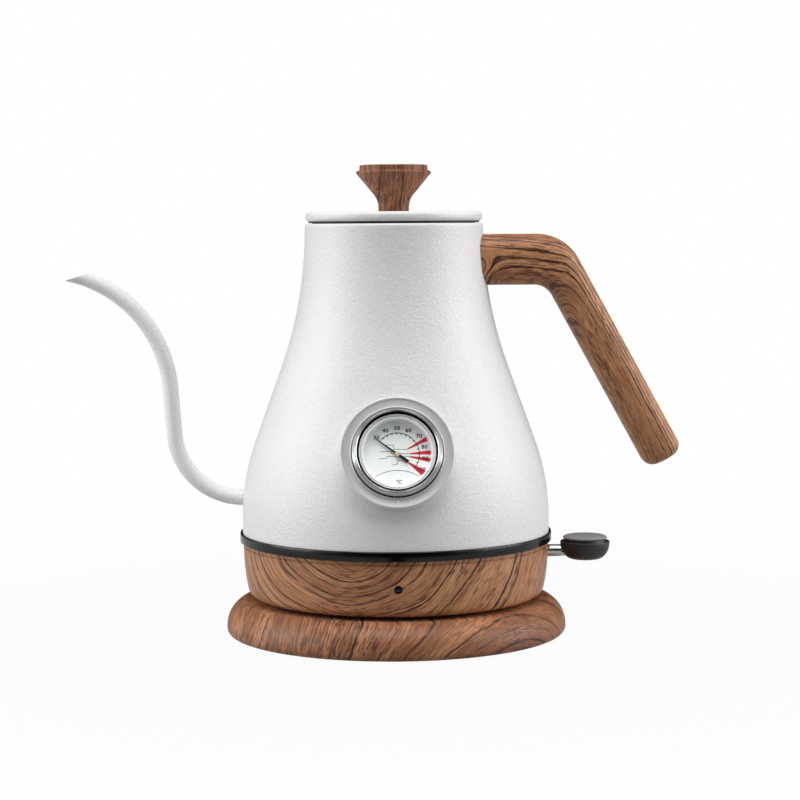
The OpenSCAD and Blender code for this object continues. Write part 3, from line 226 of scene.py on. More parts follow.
def soften(obj, angle=FOLD_ANGLE):
    """Smooths the faces and keeps edges sharp where they fold by more than angle degrees."""
    bm = bmesh.new()
    bm.from_mesh(obj.data)
    for face in bm.faces:
        face.smooth = True
    for edge in bm.edges:
        edge.smooth = len(edge.link_faces) == 2 and abs(edge.calc_face_angle(0)) < radians(angle)
    bm.to_mesh(obj.data)
    bm.free()
    return obj


def arc(cx, cy, r, a0, a1, steps):
    """Points on an arc from a0 to a1 degrees."""
    angles = [radians(a0 + (a1 - a0) * i / steps) for i in range(steps + 1)]
    return [(cx + r * cos(a), cy + r * sin(a)) for a in angles]


def turned(name, loop, turns, place=None):
    """A turned piece: the closed outline of (radius, height), anticlockwise, spun round the height axis."""
    points, rows, faces = [], [], []
    for r, z in loop:
        if abs(r) < 1e-9:
            rows.append([len(points)] * turns)
            points.append((0, 0, z))
        else:
            rows.append(list(range(len(points), len(points) + turns)))
            for k in range(turns):
                points.append((r * cos(2 * pi * k / turns), r * sin(2 * pi * k / turns), z))
    for i, low in enumerate(rows):
        high = rows[(i + 1) % len(rows)]
        for k in range(turns):
            m = (k + 1) % turns
            corners = []
            for v in (low[k], low[m], high[m], high[k]):
                if v not in corners:
                    corners.append(v)
            if len(corners) > 2:
                faces.append(corners)
    return soften(mesh_piece(name, points, faces, place))


def stacked(name, stacks, place=None):
    """Closed shapes: each is a stack of outlines with as many points (x, y, z), joined from first to last."""
    points, faces = [], []
    for rows in stacks:
        first, n = len(points), len(rows[0])
        last = first + n * (len(rows) - 1)
        points += [point for row in rows for point in row]
        faces += [list(range(first, first + n))[::-1], list(range(last, last + n))]
        for low in range(first, last, n):
            for i in range(n):
                k = (i + 1) % n
                faces.append((low + i, low + k, low + n + k, low + n + i))
    return mesh_piece(name, points, faces, place)


def upright(outlines, low, high):
    """Stacks for flat shapes: each closed outline of (x, y), anticlockwise, raised from low to high."""
    return [[[(x, y, z) for x, y in outline] for z in (low, high)] for outline in outlines]


def block(name, low, high, place=None):
    """A box from its low to its high corner, in millimetres."""
    outline = [(low[0], low[1]), (high[0], low[1]), (high[0], high[1]), (low[0], high[1])]
    return stacked(name, upright([outline], low[2], high[2]), place)


def rod(name, radius, start, end, sides=48):
    """A round bar between two points in millimetres."""
    start, end = Vector(start) * MM, Vector(end) * MM
    bm = bmesh.new()
    bmesh.ops.create_cone(bm, cap_ends=True, segments=sides, radius1=radius * MM, radius2=radius * MM,
                          depth=(end - start).length)
    turn = Vector((0, 0, 1)).rotation_difference(end - start).to_matrix().to_4x4()
    bm.transform(Matrix.Translation((start + end) / 2) @ turn)
    mesh = bpy.data.meshes.new(name)
    bm.to_mesh(mesh)
    bm.free()
    return add_object(name, mesh)


def as_mesh(obj):
    """Turns what the object's modifiers make into its plain mesh."""
    bpy.context.view_layer.update()
    graph = bpy.context.evaluated_depsgraph_get()
    mesh = bpy.data.meshes.new_from_object(obj.evaluated_get(graph))
    obj.modifiers.clear()
    if obj.type == "MESH":
        obj.data = mesh
        return obj
    name = obj.name
    bpy.data.objects.remove(obj)
    mesh.name = name
    return add_object(name, mesh)


def carve(obj, *cutters, angle=FOLD_ANGLE):
    """Cuts the cutters out of the piece, and removes them."""
    for cutter in cutters:
        step = obj.modifiers.new("cut", "BOOLEAN")
        step.operation = "DIFFERENCE"
        step.solver = "EXACT"
        step.object = cutter
    as_mesh(obj)
    for cutter in cutters:
        bpy.data.objects.remove(cutter)
    return soften(obj, angle)


# ---------------------------------------------------------------- node trees


class Tree:
    """A node tree with short calls that add nodes. What feeds an input is a node, a socket or a value."""

    def __init__(self, tree):
        self.tree = tree

    def feed(self, socket, value):
        if isinstance(value, bpy.types.Node):
            value = value.outputs[0]
        if isinstance(value, bpy.types.NodeSocket):
            self.tree.links.new(value, socket)
        else:
            socket.default_value = value

    def add(self, kind, feeds=None, **fields):
        """A node with its fields set and its inputs fed, by their names or numbers."""
        node = self.tree.nodes.new(kind)
        for key, value in fields.items():
            setattr(node, key, value)
        for key, value in (feeds or {}).items():
            self.feed(node.inputs[key], value)
        return node

    def math(self, operation, *values):
        return self.add("ShaderNodeMath", dict(enumerate(values)), operation=operation).outputs[0]

    def vector(self, operation, *values):
        node = self.add("ShaderNodeVectorMath", dict(enumerate(values)), operation=operation)
        return node.outputs["Value" if operation == "LENGTH" else "Vector"]

    def join(self, x=0.0, y=0.0, z=0.0):
        return self.add("ShaderNodeCombineXYZ", {0: x, 1: y, 2: z}).outputs[0]

    def span(self, value, low, high, out_low=0.0, out_high=1.0, kind="SMOOTHSTEP"):
        """Maps low..high of a value to out_low..out_high, held outside."""
        feeds = {"Value": value, "From Min": low, "From Max": high, "To Min": out_low, "To Max": out_high}
        return self.add("ShaderNodeMapRange", feeds, interpolation_type=kind).outputs["Result"]


class Build(Tree):
    """A Geometry Nodes tree with named inputs, made step by step and baked into a mesh."""

    def __init__(self, name, **sizes):
        super().__init__(bpy.data.node_groups.new(name, "GeometryNodeTree"))
        face = self.tree.interface
        for way in ("INPUT", "OUTPUT"):
            face.new_socket("Geometry", in_out=way, socket_type="NodeSocketGeometry")
        kinds = ((float, "Float"), (int, "Int"), (bpy.types.Object, "Object"),
                 (bpy.types.Material, "Material"))
        self.values = {}
        for key, value in sizes.items():
            kind = next(label for form, label in kinds if isinstance(value, form))
            socket = face.new_socket(key.replace("_", " "), in_out="INPUT", socket_type="NodeSocket" + kind)
            self.values[socket.identifier] = value
        self.inputs = self.add("NodeGroupInput").outputs
        self.output = self.add("NodeGroupOutput").inputs[0]

    def size(self, key):
        return self.inputs[key.replace("_", " ")]

    def shape_of(self, key):
        """The geometry of the object that an input names."""
        return self.add("GeometryNodeObjectInfo", {"Object": self.size(key)}).outputs["Geometry"]

    def cut(self, solid, cutter):
        """The solid less the cutter."""
        return self.add("GeometryNodeMeshBoolean", {0: solid, 1: cutter},
                        operation="DIFFERENCE", solver="EXACT")

    def bake(self, obj, result):
        """Ends the tree, runs it on the object and leaves a plain mesh with the tree's finish."""
        real = self.add("GeometryNodeRealizeInstances", {0: result})
        painted = self.add("GeometryNodeSetMaterial", {"Geometry": real, "Material": self.size("Finish")})
        self.feed(self.output, painted)
        step = obj.modifiers.new("build", "NODES")
        step.node_group = self.tree
        for key, value in self.values.items():
            step[key] = value
        return as_mesh(obj)


# ---------------------------------------------------------------- finishes


def colour(r, g, b):
    """A colour written as it shows on a screen, 0 to 255."""
    def linear(c):
        c /= 255
        return c / 12.92 if c <= 0.04045 else ((c + 0.055) / 1.055) ** 2.4
    return (linear(r), linear(g), linear(b), 1)


def darker(tone, share):
    """The same colour at a share of its light."""
    return tuple(c * share for c in tone[:3]) + (1,)


class Finish(Tree):
    """A material with one Principled shader, whose patterns lie on the object's own coordinates."""

    def __init__(self, name, **settings):
        self.material = bpy.data.materials.new(name)
        self.material.use_nodes = True
        super().__init__(self.material.node_tree)
        self.shader = self.tree.nodes["Principled BSDF"]
        self.place = self.add("ShaderNodeTexCoord").outputs["Object"]
        for key, value in settings.items():
            self.set(key.replace("_", " "), value)

    def set(self, name, value):
        self.feed(self.shader.inputs[name], value)

    def parts(self, vector):
        return self.add("ShaderNodeSeparateXYZ", {0: vector}).outputs

    def noise_node(self, vector, scale, detail=2.0, roughness=0.5):
        feeds = {"Vector": vector, "Scale": scale, "Detail": detail, "Roughness": roughness}
        return self.add("ShaderNodeTexNoise", feeds)

    def noise(self, *settings):
        return self.noise_node(*settings).outputs["Fac"]

    def ramp(self, value, *stops):
        node = self.add("ShaderNodeValToRGB", {0: value})
        steps = node.color_ramp.elements
        while len(steps) < len(stops):
            steps.new(0.5)
        for step, (at, shade) in zip(steps, stops):
            step.position = at
            step.color = shade
        return node.outputs["Color"]

    def mix(self, share, first, second):
        return self.add("ShaderNodeMix", {"Factor": share, 6: first, 7: second}, data_type="RGBA").outputs[2]

    def bump(self, height, depth):
        """Relief from height, depth in metres for a step of one."""
        self.set("Normal", self.add("ShaderNodeBump", {"Strength": 1.0, "Distance": depth, "Height": height}))


def texture_paint(name, tone, roughness, depth, gloss):
    """Fine textured paint, baked on steel: small pits and grains, slightly uneven in tone."""
    f = Finish(name, Specular_IOR_Level=gloss)
    grain = f.noise(f.place, 1250, 2, 0.6)
    pits = f.noise(f.place, 760, 2, 0.6)
    cloud = f.noise(f.place, 30)
    speck = f.math("MULTIPLY_ADD", pits, 0.5, f.math("MULTIPLY", grain, 0.5))
    f.set("Base Color", f.mix(f.span(speck, 0.42, 0.58), darker(tone, 0.94), tone))
    f.set("Roughness", f.span(cloud, 0.3, 0.7, roughness - 0.03, roughness + 0.04))
    f.bump(speck, depth)
    return f.material


WOOD_LIGHT = colour(208, 153, 112)
WOOD_MID = colour(184, 129, 92)
WOOD_DEEP = colour(140, 92, 65)
WOOD_LINE = colour(74, 46, 38)
WOOD_DARK = colour(60, 38, 31)


def grain_noise(f, across, over, along, detail, roughness, shift):
    """Noise drawn out along the grain: over and along are its features per metre."""
    x, y, z = f.parts(f.place)
    side = f.math("ADD", f.math("MULTIPLY", across, over), shift)
    length = f.math("MULTIPLY", f.math("ADD", x, f.math("MULTIPLY", y, 0.6)), along)
    height = f.math("MULTIPLY", f.math("SUBTRACT", z, f.math("MULTIPLY", y, 0.5)), along)
    return f.noise(f.join(side, length, height), 1.0, detail, roughness)


def growth_rings(f, across, spacing, wander, low, shift):
    """Year rings, spacing metres apart: each darkens towards its late side, and each has its own strength."""
    slow = grain_noise(f, across, 0.35 / spacing, 0.05 / spacing, 2, 0.5, shift)
    waver = f.math("MULTIPLY_ADD", slow, wander, shift)
    count = f.math("ADD", f.math("MULTIPLY", across, 1 / spacing), waver)
    share = f.math("FRACT", count)
    own = f.add("ShaderNodeTexWhiteNoise", {"W": f.math("FLOOR", count)}, noise_dimensions="1D")
    late = f.math("MULTIPLY", f.span(share, 0.5, 0.85), f.span(share, 0.92, 0.99, 1.0, 0.0))
    return f.math("MULTIPLY", late, f.span(own.outputs["Value"], low, 1.0))


def drawn_lines(f, across, lines):
    """Dark lines at set distances over the grain: (distance, width) in mm."""
    total = 0.0
    for at, width in lines:
        off = f.math("ABSOLUTE", f.math("SUBTRACT", across, at * MM))
        total = f.math("MAXIMUM", total, f.span(off, width * 0.45 * MM, width * 0.85 * MM, 1.0, 0.0))
    return total


def wood_effect(name, field, spacing, lines, tone, shift, roughness=0.40):
    """A printed wood grain: warm mid brown, dark year rings of uneven strength, and short pores."""
    f = Finish(name, Specular_IOR_Level=0.25)
    across = field(f)
    bands = grain_noise(f, across, 110, 12, 2, 0.5, shift)
    fibre = grain_noise(f, across, 2300, 110, 2, 0.6, shift + 57)
    pores = grain_noise(f, across, 1250, 190, 1, 0.4, shift + 43)
    breaks = grain_noise(f, across, 620, 120, 2, 0.6, shift + 19)
    blotch = f.noise(f.place, 30)
    ragged = f.math("MULTIPLY_ADD", grain_noise(f, across, 1100, 210, 1, 0.5, shift + 71), 0.0012, across)
    wide = growth_rings(f, ragged, spacing * MM, 2.2, 0.2, shift + 5)
    thin = growth_rings(f, ragged, spacing * 0.36 * MM, 1.6, 0.3, shift + 11)
    strong = drawn_lines(f, ragged, lines)
    mixed = f.math("MULTIPLY_ADD", bands, 0.45, f.math("MULTIPLY", fibre, 0.55))
    wood = f.ramp(f.math("ADD", mixed, tone), (0.36, WOOD_DEEP), (0.49, WOOD_MID), (0.63, WOOD_LIGHT))
    for mark, low, high, least, most in ((thin, 0.42, 0.54, 0.0, 0.7), (wide, 0.40, 0.53, 0.1, 0.9),
                                         (strong, 0.34, 0.46, 0.55, 1.0)):
        wood = f.mix(f.math("MULTIPLY", mark, f.span(breaks, low, high, least, most)), wood, WOOD_LINE)
    pore = f.math("MULTIPLY", f.span(pores, 0.55, 0.60), f.span(blotch, 0.35, 0.6, 0.95, 0.4))
    f.set("Base Color", f.mix(f.math("MULTIPLY", pore, 0.75), wood, WOOD_DARK))
    f.set("Roughness", f.span(fibre, 0.3, 0.7, roughness - 0.04, roughness + 0.05))
    f.bump(f.math("SUBTRACT", f.math("MULTIPLY", fibre, 0.3), f.math("MULTIPLY", pore, 0.7)), 0.00006)
    return f.material


def bent(f, size, amount, seed):
    """Object coordinates pushed about by slow noise, so that grain lines waver."""
    waves = f.noise_node(f.vector("ADD", f.place, (seed,) * 3), size, 1.5)
    push = f.vector("MULTIPLY", f.vector("SUBTRACT", waves.outputs["Color"], (0.5,) * 3), (amount,) * 3)
    return f.vector("ADD", f.place, push)


def round_a_knot(centre, flat):
    """Grain that runs in ovals round a knot at centre (mm), drawn out sideways by flat."""
    def field(f):
        place = bent(f, 17, 0.016, centre[0] * 0.01)
        away = f.vector("SUBTRACT", place, tuple(c * MM for c in centre))
        return f.vector("LENGTH", f.vector("MULTIPLY", away, (1, 1, flat)))
    return field


def along_the_handle(f):
    """Grain that follows the arm, turns with the bend to the grip's outer side, and crests at the root."""
    x, y, z = f.parts(bent(f, 15, 0.006, 0.3))
    root_x, crest_h, crest_fall = 0.0435, 0.011, -200
    arm = f.math("SUBTRACT", z, ARM_Z * MM)
    out = f.math("MULTIPLY", f.math("SUBTRACT", x, CORNER_X * MM), sin(GRIP_SLOPE))
    grip = f.math("MULTIPLY_ADD", arm, cos(GRIP_SLOPE), out)
    leaning = f.math("MULTIPLY_ADD", f.math("SUBTRACT", x, 0.045), 0.10, arm)
    run = f.math("SMOOTH_MAX", leaning, f.math("MULTIPLY_ADD", grip, 2.0, -0.0095), 0.015)
    near = f.math("EXPONENT", f.math("MULTIPLY", f.math("SUBTRACT", x, root_x), crest_fall))
    low = f.span(arm, -0.004, 0.006, 1.0, 0.0)
    crest = f.math("MULTIPLY", f.math("MULTIPLY", near, crest_h), low)
    lean = f.math("MULTIPLY_ADD", y, 0.6, 0.0032)
    return f.math("ADD", run, f.math("ADD", lean, crest))


def up_the_knob(f):
    """Grain that runs straight up through a turned piece, in layers across its width."""
    x, y, _ = f.parts(bent(f, 26, 0.005, 0.7))
    return f.math("MULTIPLY_ADD", y, 0.12, x)


def moulded(name, tone, roughness, texture=900, depth=0.00004, **settings):
    """Moulded plastic or rubber with a fine spark-eroded texture."""
    f = Finish(name, **settings)
    skin = f.noise(f.place, texture, 3, 0.6)
    f.set("Base Color", f.mix(f.noise(f.place, 40), darker(tone, 0.82), tone))
    f.set("Roughness", f.span(skin, 0.3, 0.7, roughness - 0.04, roughness + 0.06))
    f.bump(skin, depth)
    return f.material


def metal(name, tone, roughness, brush=(1, 1, 1), scale=400, depth=0.00001, tint=0.06, bare=1.0):
    """Metal with fine marks drawn out by brush; bare is less than one under a matt lacquer."""
    f = Finish(name, Metallic=bare)
    marks = f.noise(f.vector("MULTIPLY", f.place, brush), scale, 3, 0.6)
    f.set("Base Color", f.mix(f.noise(f.place, 60), darker(tone, 1 - tint * 2), tone))
    f.set("Roughness", f.span(marks, 0.3, 0.7, roughness * 0.8, roughness * 1.25))
    f.bump(marks, depth)
    return f.material


def clear_glass(name):
    """Clear glass that lets lamps through, so that what lies under it is lit."""
    f = Finish(name, Roughness=0.0, IOR=1.45, Transmission_Weight=1.0, Base_Color=colour(250, 252, 252))
    window = f.add("ShaderNodeBsdfTransparent")
    path = f.add("ShaderNodeLightPath")
    pick = f.add("ShaderNodeMixShader", {0: path.outputs["Is Shadow Ray"], 1: f.shader, 2: window})
    f.feed(f.tree.nodes["Material Output"].inputs["Surface"], pick)
    return f.material


def ink(name, tone):
    """Printing ink, a little uneven where it takes on the paint below."""
    f = Finish(name, Specular_IOR_Level=0.25)
    grain = f.noise(f.place, 4000)
    pale = tuple(c + (0.012 if c < 0.5 else -0.03) for c in tone[:3]) + (1,)
    f.set("Base Color", f.mix(f.span(grain, 0.45, 0.75), tone, pale))
    f.set("Roughness", f.span(grain, 0.3, 0.7, 0.38, 0.5))
    return f.material


PAINT = texture_paint("white_texture_paint", colour(237, 237, 237), 0.40, 0.00034, 0.5)
# the spout's paint is the pot's white paint with a lighter tone, painted light that brightens the thin tube;
# its higher roughness and lower gloss are a satin finish
LIGHTENED_SPOUT_PAINT = texture_paint("white_spout_paint", colour(248, 248, 248), 0.50, 0.0001, 0.3)
HOUSING_WOOD = wood_effect("housing_wood_film", round_a_knot((-26, -71, 54), 1.5), 5.2,
                           ((25, 0.7), (36, 0.6), (54, 0.7), (66, 0.9), (88, 1.0), (92, 1.1)), 0.02, 2.0)
BASE_WOOD = wood_effect("base_wood_film", round_a_knot((58, -60, -12), 1.45), 4.4,
                        ((17, 1.8), (23, 1.2), (29, 1.0), (63, 0.9), (86, 1.1)), -0.10, 3.0)
HANDLE_WOOD = wood_effect("handle_wood_film", along_the_handle, 3.4,
                          ((-1.5, 1.0), (-5.2, 0.8), (2.6, 0.6), (7, 0.5)), 0.03, 11.0)
KNOB_WOOD = wood_effect("knob_wood", up_the_knob, 2.6, ((-7.5, 0.8), (3.5, 0.5)), -0.17, 5.0, roughness=0.5)
FINISHES = {
    "wood_effect": HOUSING_WOOD,
    "knob_wood": KNOB_WOOD,
    "white_paint": PAINT,
    "black_plastic": moulded("matt_black_plastic", colour(34, 34, 36), 0.55),
    "black_trim": moulded("satin_black_plastic", colour(6, 6, 7), 0.15, texture=1600, depth=0.000002,
                          Specular_IOR_Level=0.4),
    "grey_pad": moulded("grey_soft_pad", colour(138, 138, 140), 0.5, texture=1400),
    "dark_lens": moulded("dark_lens", colour(14, 14, 17), 0.08, texture=600, depth=0.000002, Coat_Weight=1.0),
    "lamp_glass": moulded("lamp_glass", colour(236, 222, 190), 0.1, depth=0.000002),
    "steel": metal("brushed_steel", colour(196, 197, 199), 0.26, brush=(1, 1, 14), scale=120),
    "satin_metal": metal("satin_metal", colour(213, 213, 214), 0.42, scale=1500, depth=0.000012, tint=0.02,
                         bare=0.25),
    "chrome": metal("polished_chrome", colour(205, 206, 208), 0.10, scale=200, depth=0.0000002, tint=0.02),
    "aluminium": metal("cast_aluminium", colour(190, 192, 195), 0.45, scale=700, depth=0.00004),
    "brass": metal("brass", colour(232, 208, 158), 0.3, scale=900, depth=0.000002, bare=0.5),
    "rubber": moulded("black_rubber", colour(36, 36, 37), 0.7, texture=500, depth=0.00006),
    "wire": moulded("wire_jacket", colour(150, 36, 30), 0.42, texture=300),
    "glass": clear_glass("dial_glass"),
    "dial_face": ink("dial_white", colour(236, 236, 236)),
    "needle_black": ink("needle_black", colour(16, 16, 16)),
}
BLACK_INK = ink("scale_black_ink", colour(16, 16, 18))
RED_INK = ink("scale_red_ink", colour(204, 38, 52))
GREY_INK = ink("scale_grey_ink", colour(58, 58, 60))

for row in frame["record"]["subparts"]:
    node = frame["nodes"][row["node"]]
    node.data.materials.clear()
    node.data.materials.append(FINISHES[row["material_slot"]])


def dress(obj, body, slot_name, nodes=(), material=None):
    """Gives a piece its finish and its body, and hides the nodes that it stands for."""
    if material is not None or not obj.data.materials:
        obj.data.materials.clear()
        obj.data.materials.append(material or FINISHES[slot_name])
    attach(obj, body)
    if nodes:
        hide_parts(*nodes)
    return obj


# ---------------------------------------------------------------- power base

side_h = BASE_H - BASE_BELLY_H
side_r = (side_h ** 2 + (BASE_R - BASE_TOP_R) ** 2) / (2 * (BASE_R - BASE_TOP_R))
side_turn = degrees(asin(side_h / side_r))
base_inner_r = BASE_R - BASE_WALL - BASE_EDGE_R
seat_out_r, seat_in_r = SEAT_R + SEAT_W / 2, SEAT_R - SEAT_W / 2
seat_edge_z = BASE_TOP_Z + SEAT_H - SEAT_EDGE_R
post_hole_r = POST_R + FIT_GAP

base_loop = (
    [(base_inner_r, BASE_Z)]
    + arc(BASE_R - BASE_EDGE_R, BASE_Z + BASE_EDGE_R, BASE_EDGE_R, -90, 0, 10)
    + arc(BASE_R - side_r, BASE_Z + BASE_BELLY_H, side_r, 0, side_turn, 24)[:-1]
    + arc(BASE_TOP_R - BASE_CREASE_R * 0.8, BASE_TOP_Z - BASE_CREASE_R, BASE_CREASE_R, 40, 90, 4)
    + [(seat_out_r + 0.1, BASE_TOP_Z)]
    + arc(seat_out_r - SEAT_EDGE_R, seat_edge_z, SEAT_EDGE_R, 0, 90, 4)
    + arc(seat_in_r + SEAT_EDGE_R, seat_edge_z, SEAT_EDGE_R, 90, 180, 4)
    + [(seat_in_r, BASE_TOP_Z), (post_hole_r + SEAT_EDGE_R, BASE_TOP_Z),
       (post_hole_r, BASE_TOP_Z - SEAT_EDGE_R), (post_hole_r, BASE_TOP_Z - BASE_WALL),
       (BASE_TOP_R - BASE_WALL, BASE_TOP_Z - BASE_WALL), (base_inner_r, BASE_Z + BASE_BELLY_H + side_h / 3)]
)
gland_from, gland_cut = base_inner_r - 8, 30
base_cover = carve(
    turned("base_cover", base_loop, BIG_TURN),
    rod("gland_hole", GLAND_R, (0, gland_from, GLAND_Z), (0, gland_from + gland_cut, GLAND_Z)),
    rod("gland_lip_hole", GLAND_LIP_R, (0, gland_from, GLAND_Z), (0, base_inner_r - GLAND_LIP_IN, GLAND_Z)),
)
dress(base_cover, "power_base", "wood_effect", ["base_shell"], BASE_WOOD)

# ---------------------------------------------------------------- lower housing, trim ring and lamp lens

barrel_x = HOUSING_R - HOUSING_BARREL_R
barrel_in_r = HOUSING_BARREL_R - HOUSING_EDGE_R
barrel_a = asin((BARREL_TOP_Z - KETTLE_Z - HOUSING_EDGE_R) / barrel_in_r)
barrel_turn = degrees(barrel_a)
edge_x = barrel_x + barrel_in_r * cos(barrel_a)
edge_z = BARREL_TOP_Z - barrel_in_r * sin(barrel_a)
groove_r = HOUSING_R - GROOVE_DEPTH
ledge_z = KETTLE_Z + COVER_T + HOUSING_WALL

inner_wall = [p for p in arc(barrel_x, BARREL_TOP_Z, HOUSING_BARREL_R - HOUSING_WALL, 0, -barrel_turn, 16)
              if p[1] > ledge_z]
housing_loop = (
    [(COVER_R + FIT_GAP, KETTLE_Z)]
    + arc(edge_x, edge_z, HOUSING_EDGE_R, -90, -barrel_turn, 12)
    + arc(barrel_x, BARREL_TOP_Z, HOUSING_BARREL_R, -barrel_turn, 0, 24)[1:]
    + [(HOUSING_R, GROOVE_LOW_Z - 0.1), (HOUSING_R - 0.15, GROOVE_LOW_Z), (groove_r, GROOVE_LOW_Z + 0.1),
       (groove_r, GROOVE_TOP_Z - 0.1), (HOUSING_R - 0.15, GROOVE_TOP_Z), (HOUSING_R, GROOVE_TOP_Z + 0.15),
       (HOUSING_R, HOUSING_TOP_Z - 0.2), (HOUSING_R - 0.2, HOUSING_TOP_Z),
       (HOUSING_R - HOUSING_WALL, HOUSING_TOP_Z)]
    + inner_wall
    + [(inner_wall[-1][0] - 0.5, ledge_z), (LEDGE_IN_R, ledge_z), (LEDGE_IN_R, KETTLE_Z + COVER_T),
       (COVER_R + FIT_GAP, KETTLE_Z + COVER_T)]
)
slot_r = ROD_R + RUN_GAP
slot_low_z = LEVER_Z - LEVER_DROP
slot_from, slot_to = 65, 95
lens_y = barrel_x + sqrt(HOUSING_BARREL_R ** 2 - (BARREL_TOP_Z - LAMP_Z) ** 2)
housing = carve(
    turned("housing", housing_loop, BIG_TURN),
    rod("slot_top", slot_r, (slot_from, 0, LEVER_Z), (slot_to, 0, LEVER_Z)),
    rod("slot_low", slot_r, (slot_from, 0, slot_low_z), (slot_to, 0, slot_low_z)),
    block("slot_mid", (slot_from, -slot_r, slot_low_z), (slot_to, slot_r, LEVER_Z)),
    rod("lens_hole", LENS_R + FIT_GAP, (0, -lens_y - 1, LAMP_Z), (0, -lens_y + 9, LAMP_Z), 32),
)
dress(housing, "kettle", "wood_effect", ["lower_housing"], HOUSING_WOOD)

trim_in_r = BODY_R + FIT_GAP
trim_top_z = HOUSING_TOP_Z + TRIM_H
trim_loop = (
    [(BODY_R - TRIM_DEPTH, HOUSING_TOP_Z)]
    + arc(TRIM_R - TRIM_EDGE_R, HOUSING_TOP_Z + TRIM_EDGE_R, TRIM_EDGE_R, -90, 0, 5)
    + arc(TRIM_R - TRIM_EDGE_R, trim_top_z - TRIM_EDGE_R, TRIM_EDGE_R, 0, 90, 5)
    + [(trim_in_r + 0.15, trim_top_z), (trim_in_r, trim_top_z - 0.15), (trim_in_r, BODY_Z),
       (BODY_R - TRIM_DEPTH, BODY_Z)]
)
dress(turned("trim_band", trim_loop, BIG_TURN), "kettle", "black_trim", ["trim_ring"])

lens_loop = [(0, 0.5), (LENS_R, 0.5), (LENS_R, 3.4), (LENS_R - 0.25, 3.7), (LENS_R - 0.55, 3.7),
             (LENS_R - 0.65, 3.45)] + arc(0, 1.45, 2.2, 54, 90, 6)[:-1] + [(0, LENS_FACE)]
LENS_PLACE = (Matrix.Translation((0, -(lens_y - LENS_FACE) * MM, LAMP_Z * MM))
              @ Matrix.Rotation(radians(90), 4, "X"))
dress(turned("lamp_lens", lens_loop, 48, LENS_PLACE), "kettle", "dark_lens", ["indicator_lens"])

# ---------------------------------------------------------------- pot and rim

neck_z = RIM_Z - RIM_BEAD_R
shoulder_x, shoulder_z = BODY_R - SHOULDER_R, BODY_Z + BODY_FOOT_H
side_c, side_s = cos(radians(SIDE_ANGLE)), sin(radians(SIDE_ANGLE))
flare_r = ((MOUTH_R - shoulder_x) * side_c + (neck_z - shoulder_z) * side_s - SHOULDER_R) / (1 - side_c)
flare_x = MOUTH_R + flare_r


def body_outline(inset):
    """The pot's side from foot to neck: the shoulder's arc, then the neck's, moved in by inset."""
    return (
        [(BODY_R - inset, BODY_Z)]
        + arc(shoulder_x, shoulder_z, SHOULDER_R - inset, 0, SIDE_ANGLE, 40)
        + arc(flare_x, neck_z, flare_r + inset, 180 + SIDE_ANGLE, 180, 40)
    )


def body_radius(z):
    """Outer radius of the pot at height z."""
    low_z = shoulder_z + SHOULDER_R * side_s
    high_z = neck_z - flare_r * side_s
    if z < shoulder_z:
        return BODY_R
    if z < low_z:
        return shoulder_x + sqrt(SHOULDER_R ** 2 - (z - shoulder_z) ** 2)
    if z > high_z:
        return flare_x - sqrt(flare_r ** 2 - (min(z, neck_z) - neck_z) ** 2)
    low_r = shoulder_x + SHOULDER_R * side_c
    return low_r + (flare_x - flare_r * side_c - low_r) * (z - low_z) / (high_z - low_z)


def body_solid(grow):
    """The full shape of the pot, grown by grow, to cut pieces that lie on it."""
    return turned("body_solid", [(0, BODY_Z)] + body_outline(-grow) + [(0, neck_z)], BIG_TURN)


root_z = BODY_Z + SPOUT_ROOT_H
root_x = -body_radius(root_z)
DIAL_Z = BODY_Z + DIAL_H
DIAL_Y = -body_radius(DIAL_Z)
DIAL_PLACE = (Matrix.Translation((0, DIAL_Y * MM, DIAL_Z * MM))
              @ Matrix.Rotation(radians(90 - SIDE_ANGLE), 4, "X"))


def make_pot():
    """The pot with its rolled rim and its holes, painted outside and bare steel inside."""
    bead = arc(MOUTH_R - RIM_BEAD_R, neck_z, RIM_BEAD_R, 0, RIM_BEAD_TURN, 22)
    inner = [p for p in reversed(body_outline(BODY_WALL)) if p[1] < bead[-1][1] - 0.3]
    gauge_hole = rod("gauge_hole", WELL_OUT_R + FIT_GAP, (0, 0, -10), (0, 0, 10), 96)
    gauge_hole.data.transform(DIAL_PLACE)
    spout_hole = rod("spout_hole", SPOUT_R + FIT_GAP, (root_x - 10, 0, root_z), (root_x + 10, 0, root_z))
    pot = carve(turned("pot", body_outline(0)[:-1] + bead + inner, BIG_TURN), spout_hole, gauge_hole)
    pot.data.materials.append(PAINT)
    pot.data.materials.append(FINISHES["steel"])
    for face in pot.data.polygons:
        at = face.center / MM
        wall_middle = body_radius(at.z) - BODY_WALL * 0.6
        if at.z < neck_z - 1.5 and sqrt(at.x ** 2 + at.y ** 2) < wall_middle:
            face.material_index = 1
    return pot


dress(make_pot(), "kettle", "white_paint", ["body_shell"])

# ---------------------------------------------------------------- spout

low_x, low_z = root_x, root_z + SPOUT_LOW_R
rise = radians(180 - SPOUT_LOW_TURN)
start_x, start_z = low_x - SPOUT_LOW_R * sin(rise), low_z + SPOUT_LOW_R * cos(rise)
end_x, end_z = start_x + SPOUT_RISE * cos(rise), start_z + SPOUT_RISE * sin(rise)
top_x, top_z = end_x - SPOUT_TOP_R * sin(rise), end_z + SPOUT_TOP_R * cos(rise)
tip_turn = rise + radians(SPOUT_TOP_TURN)


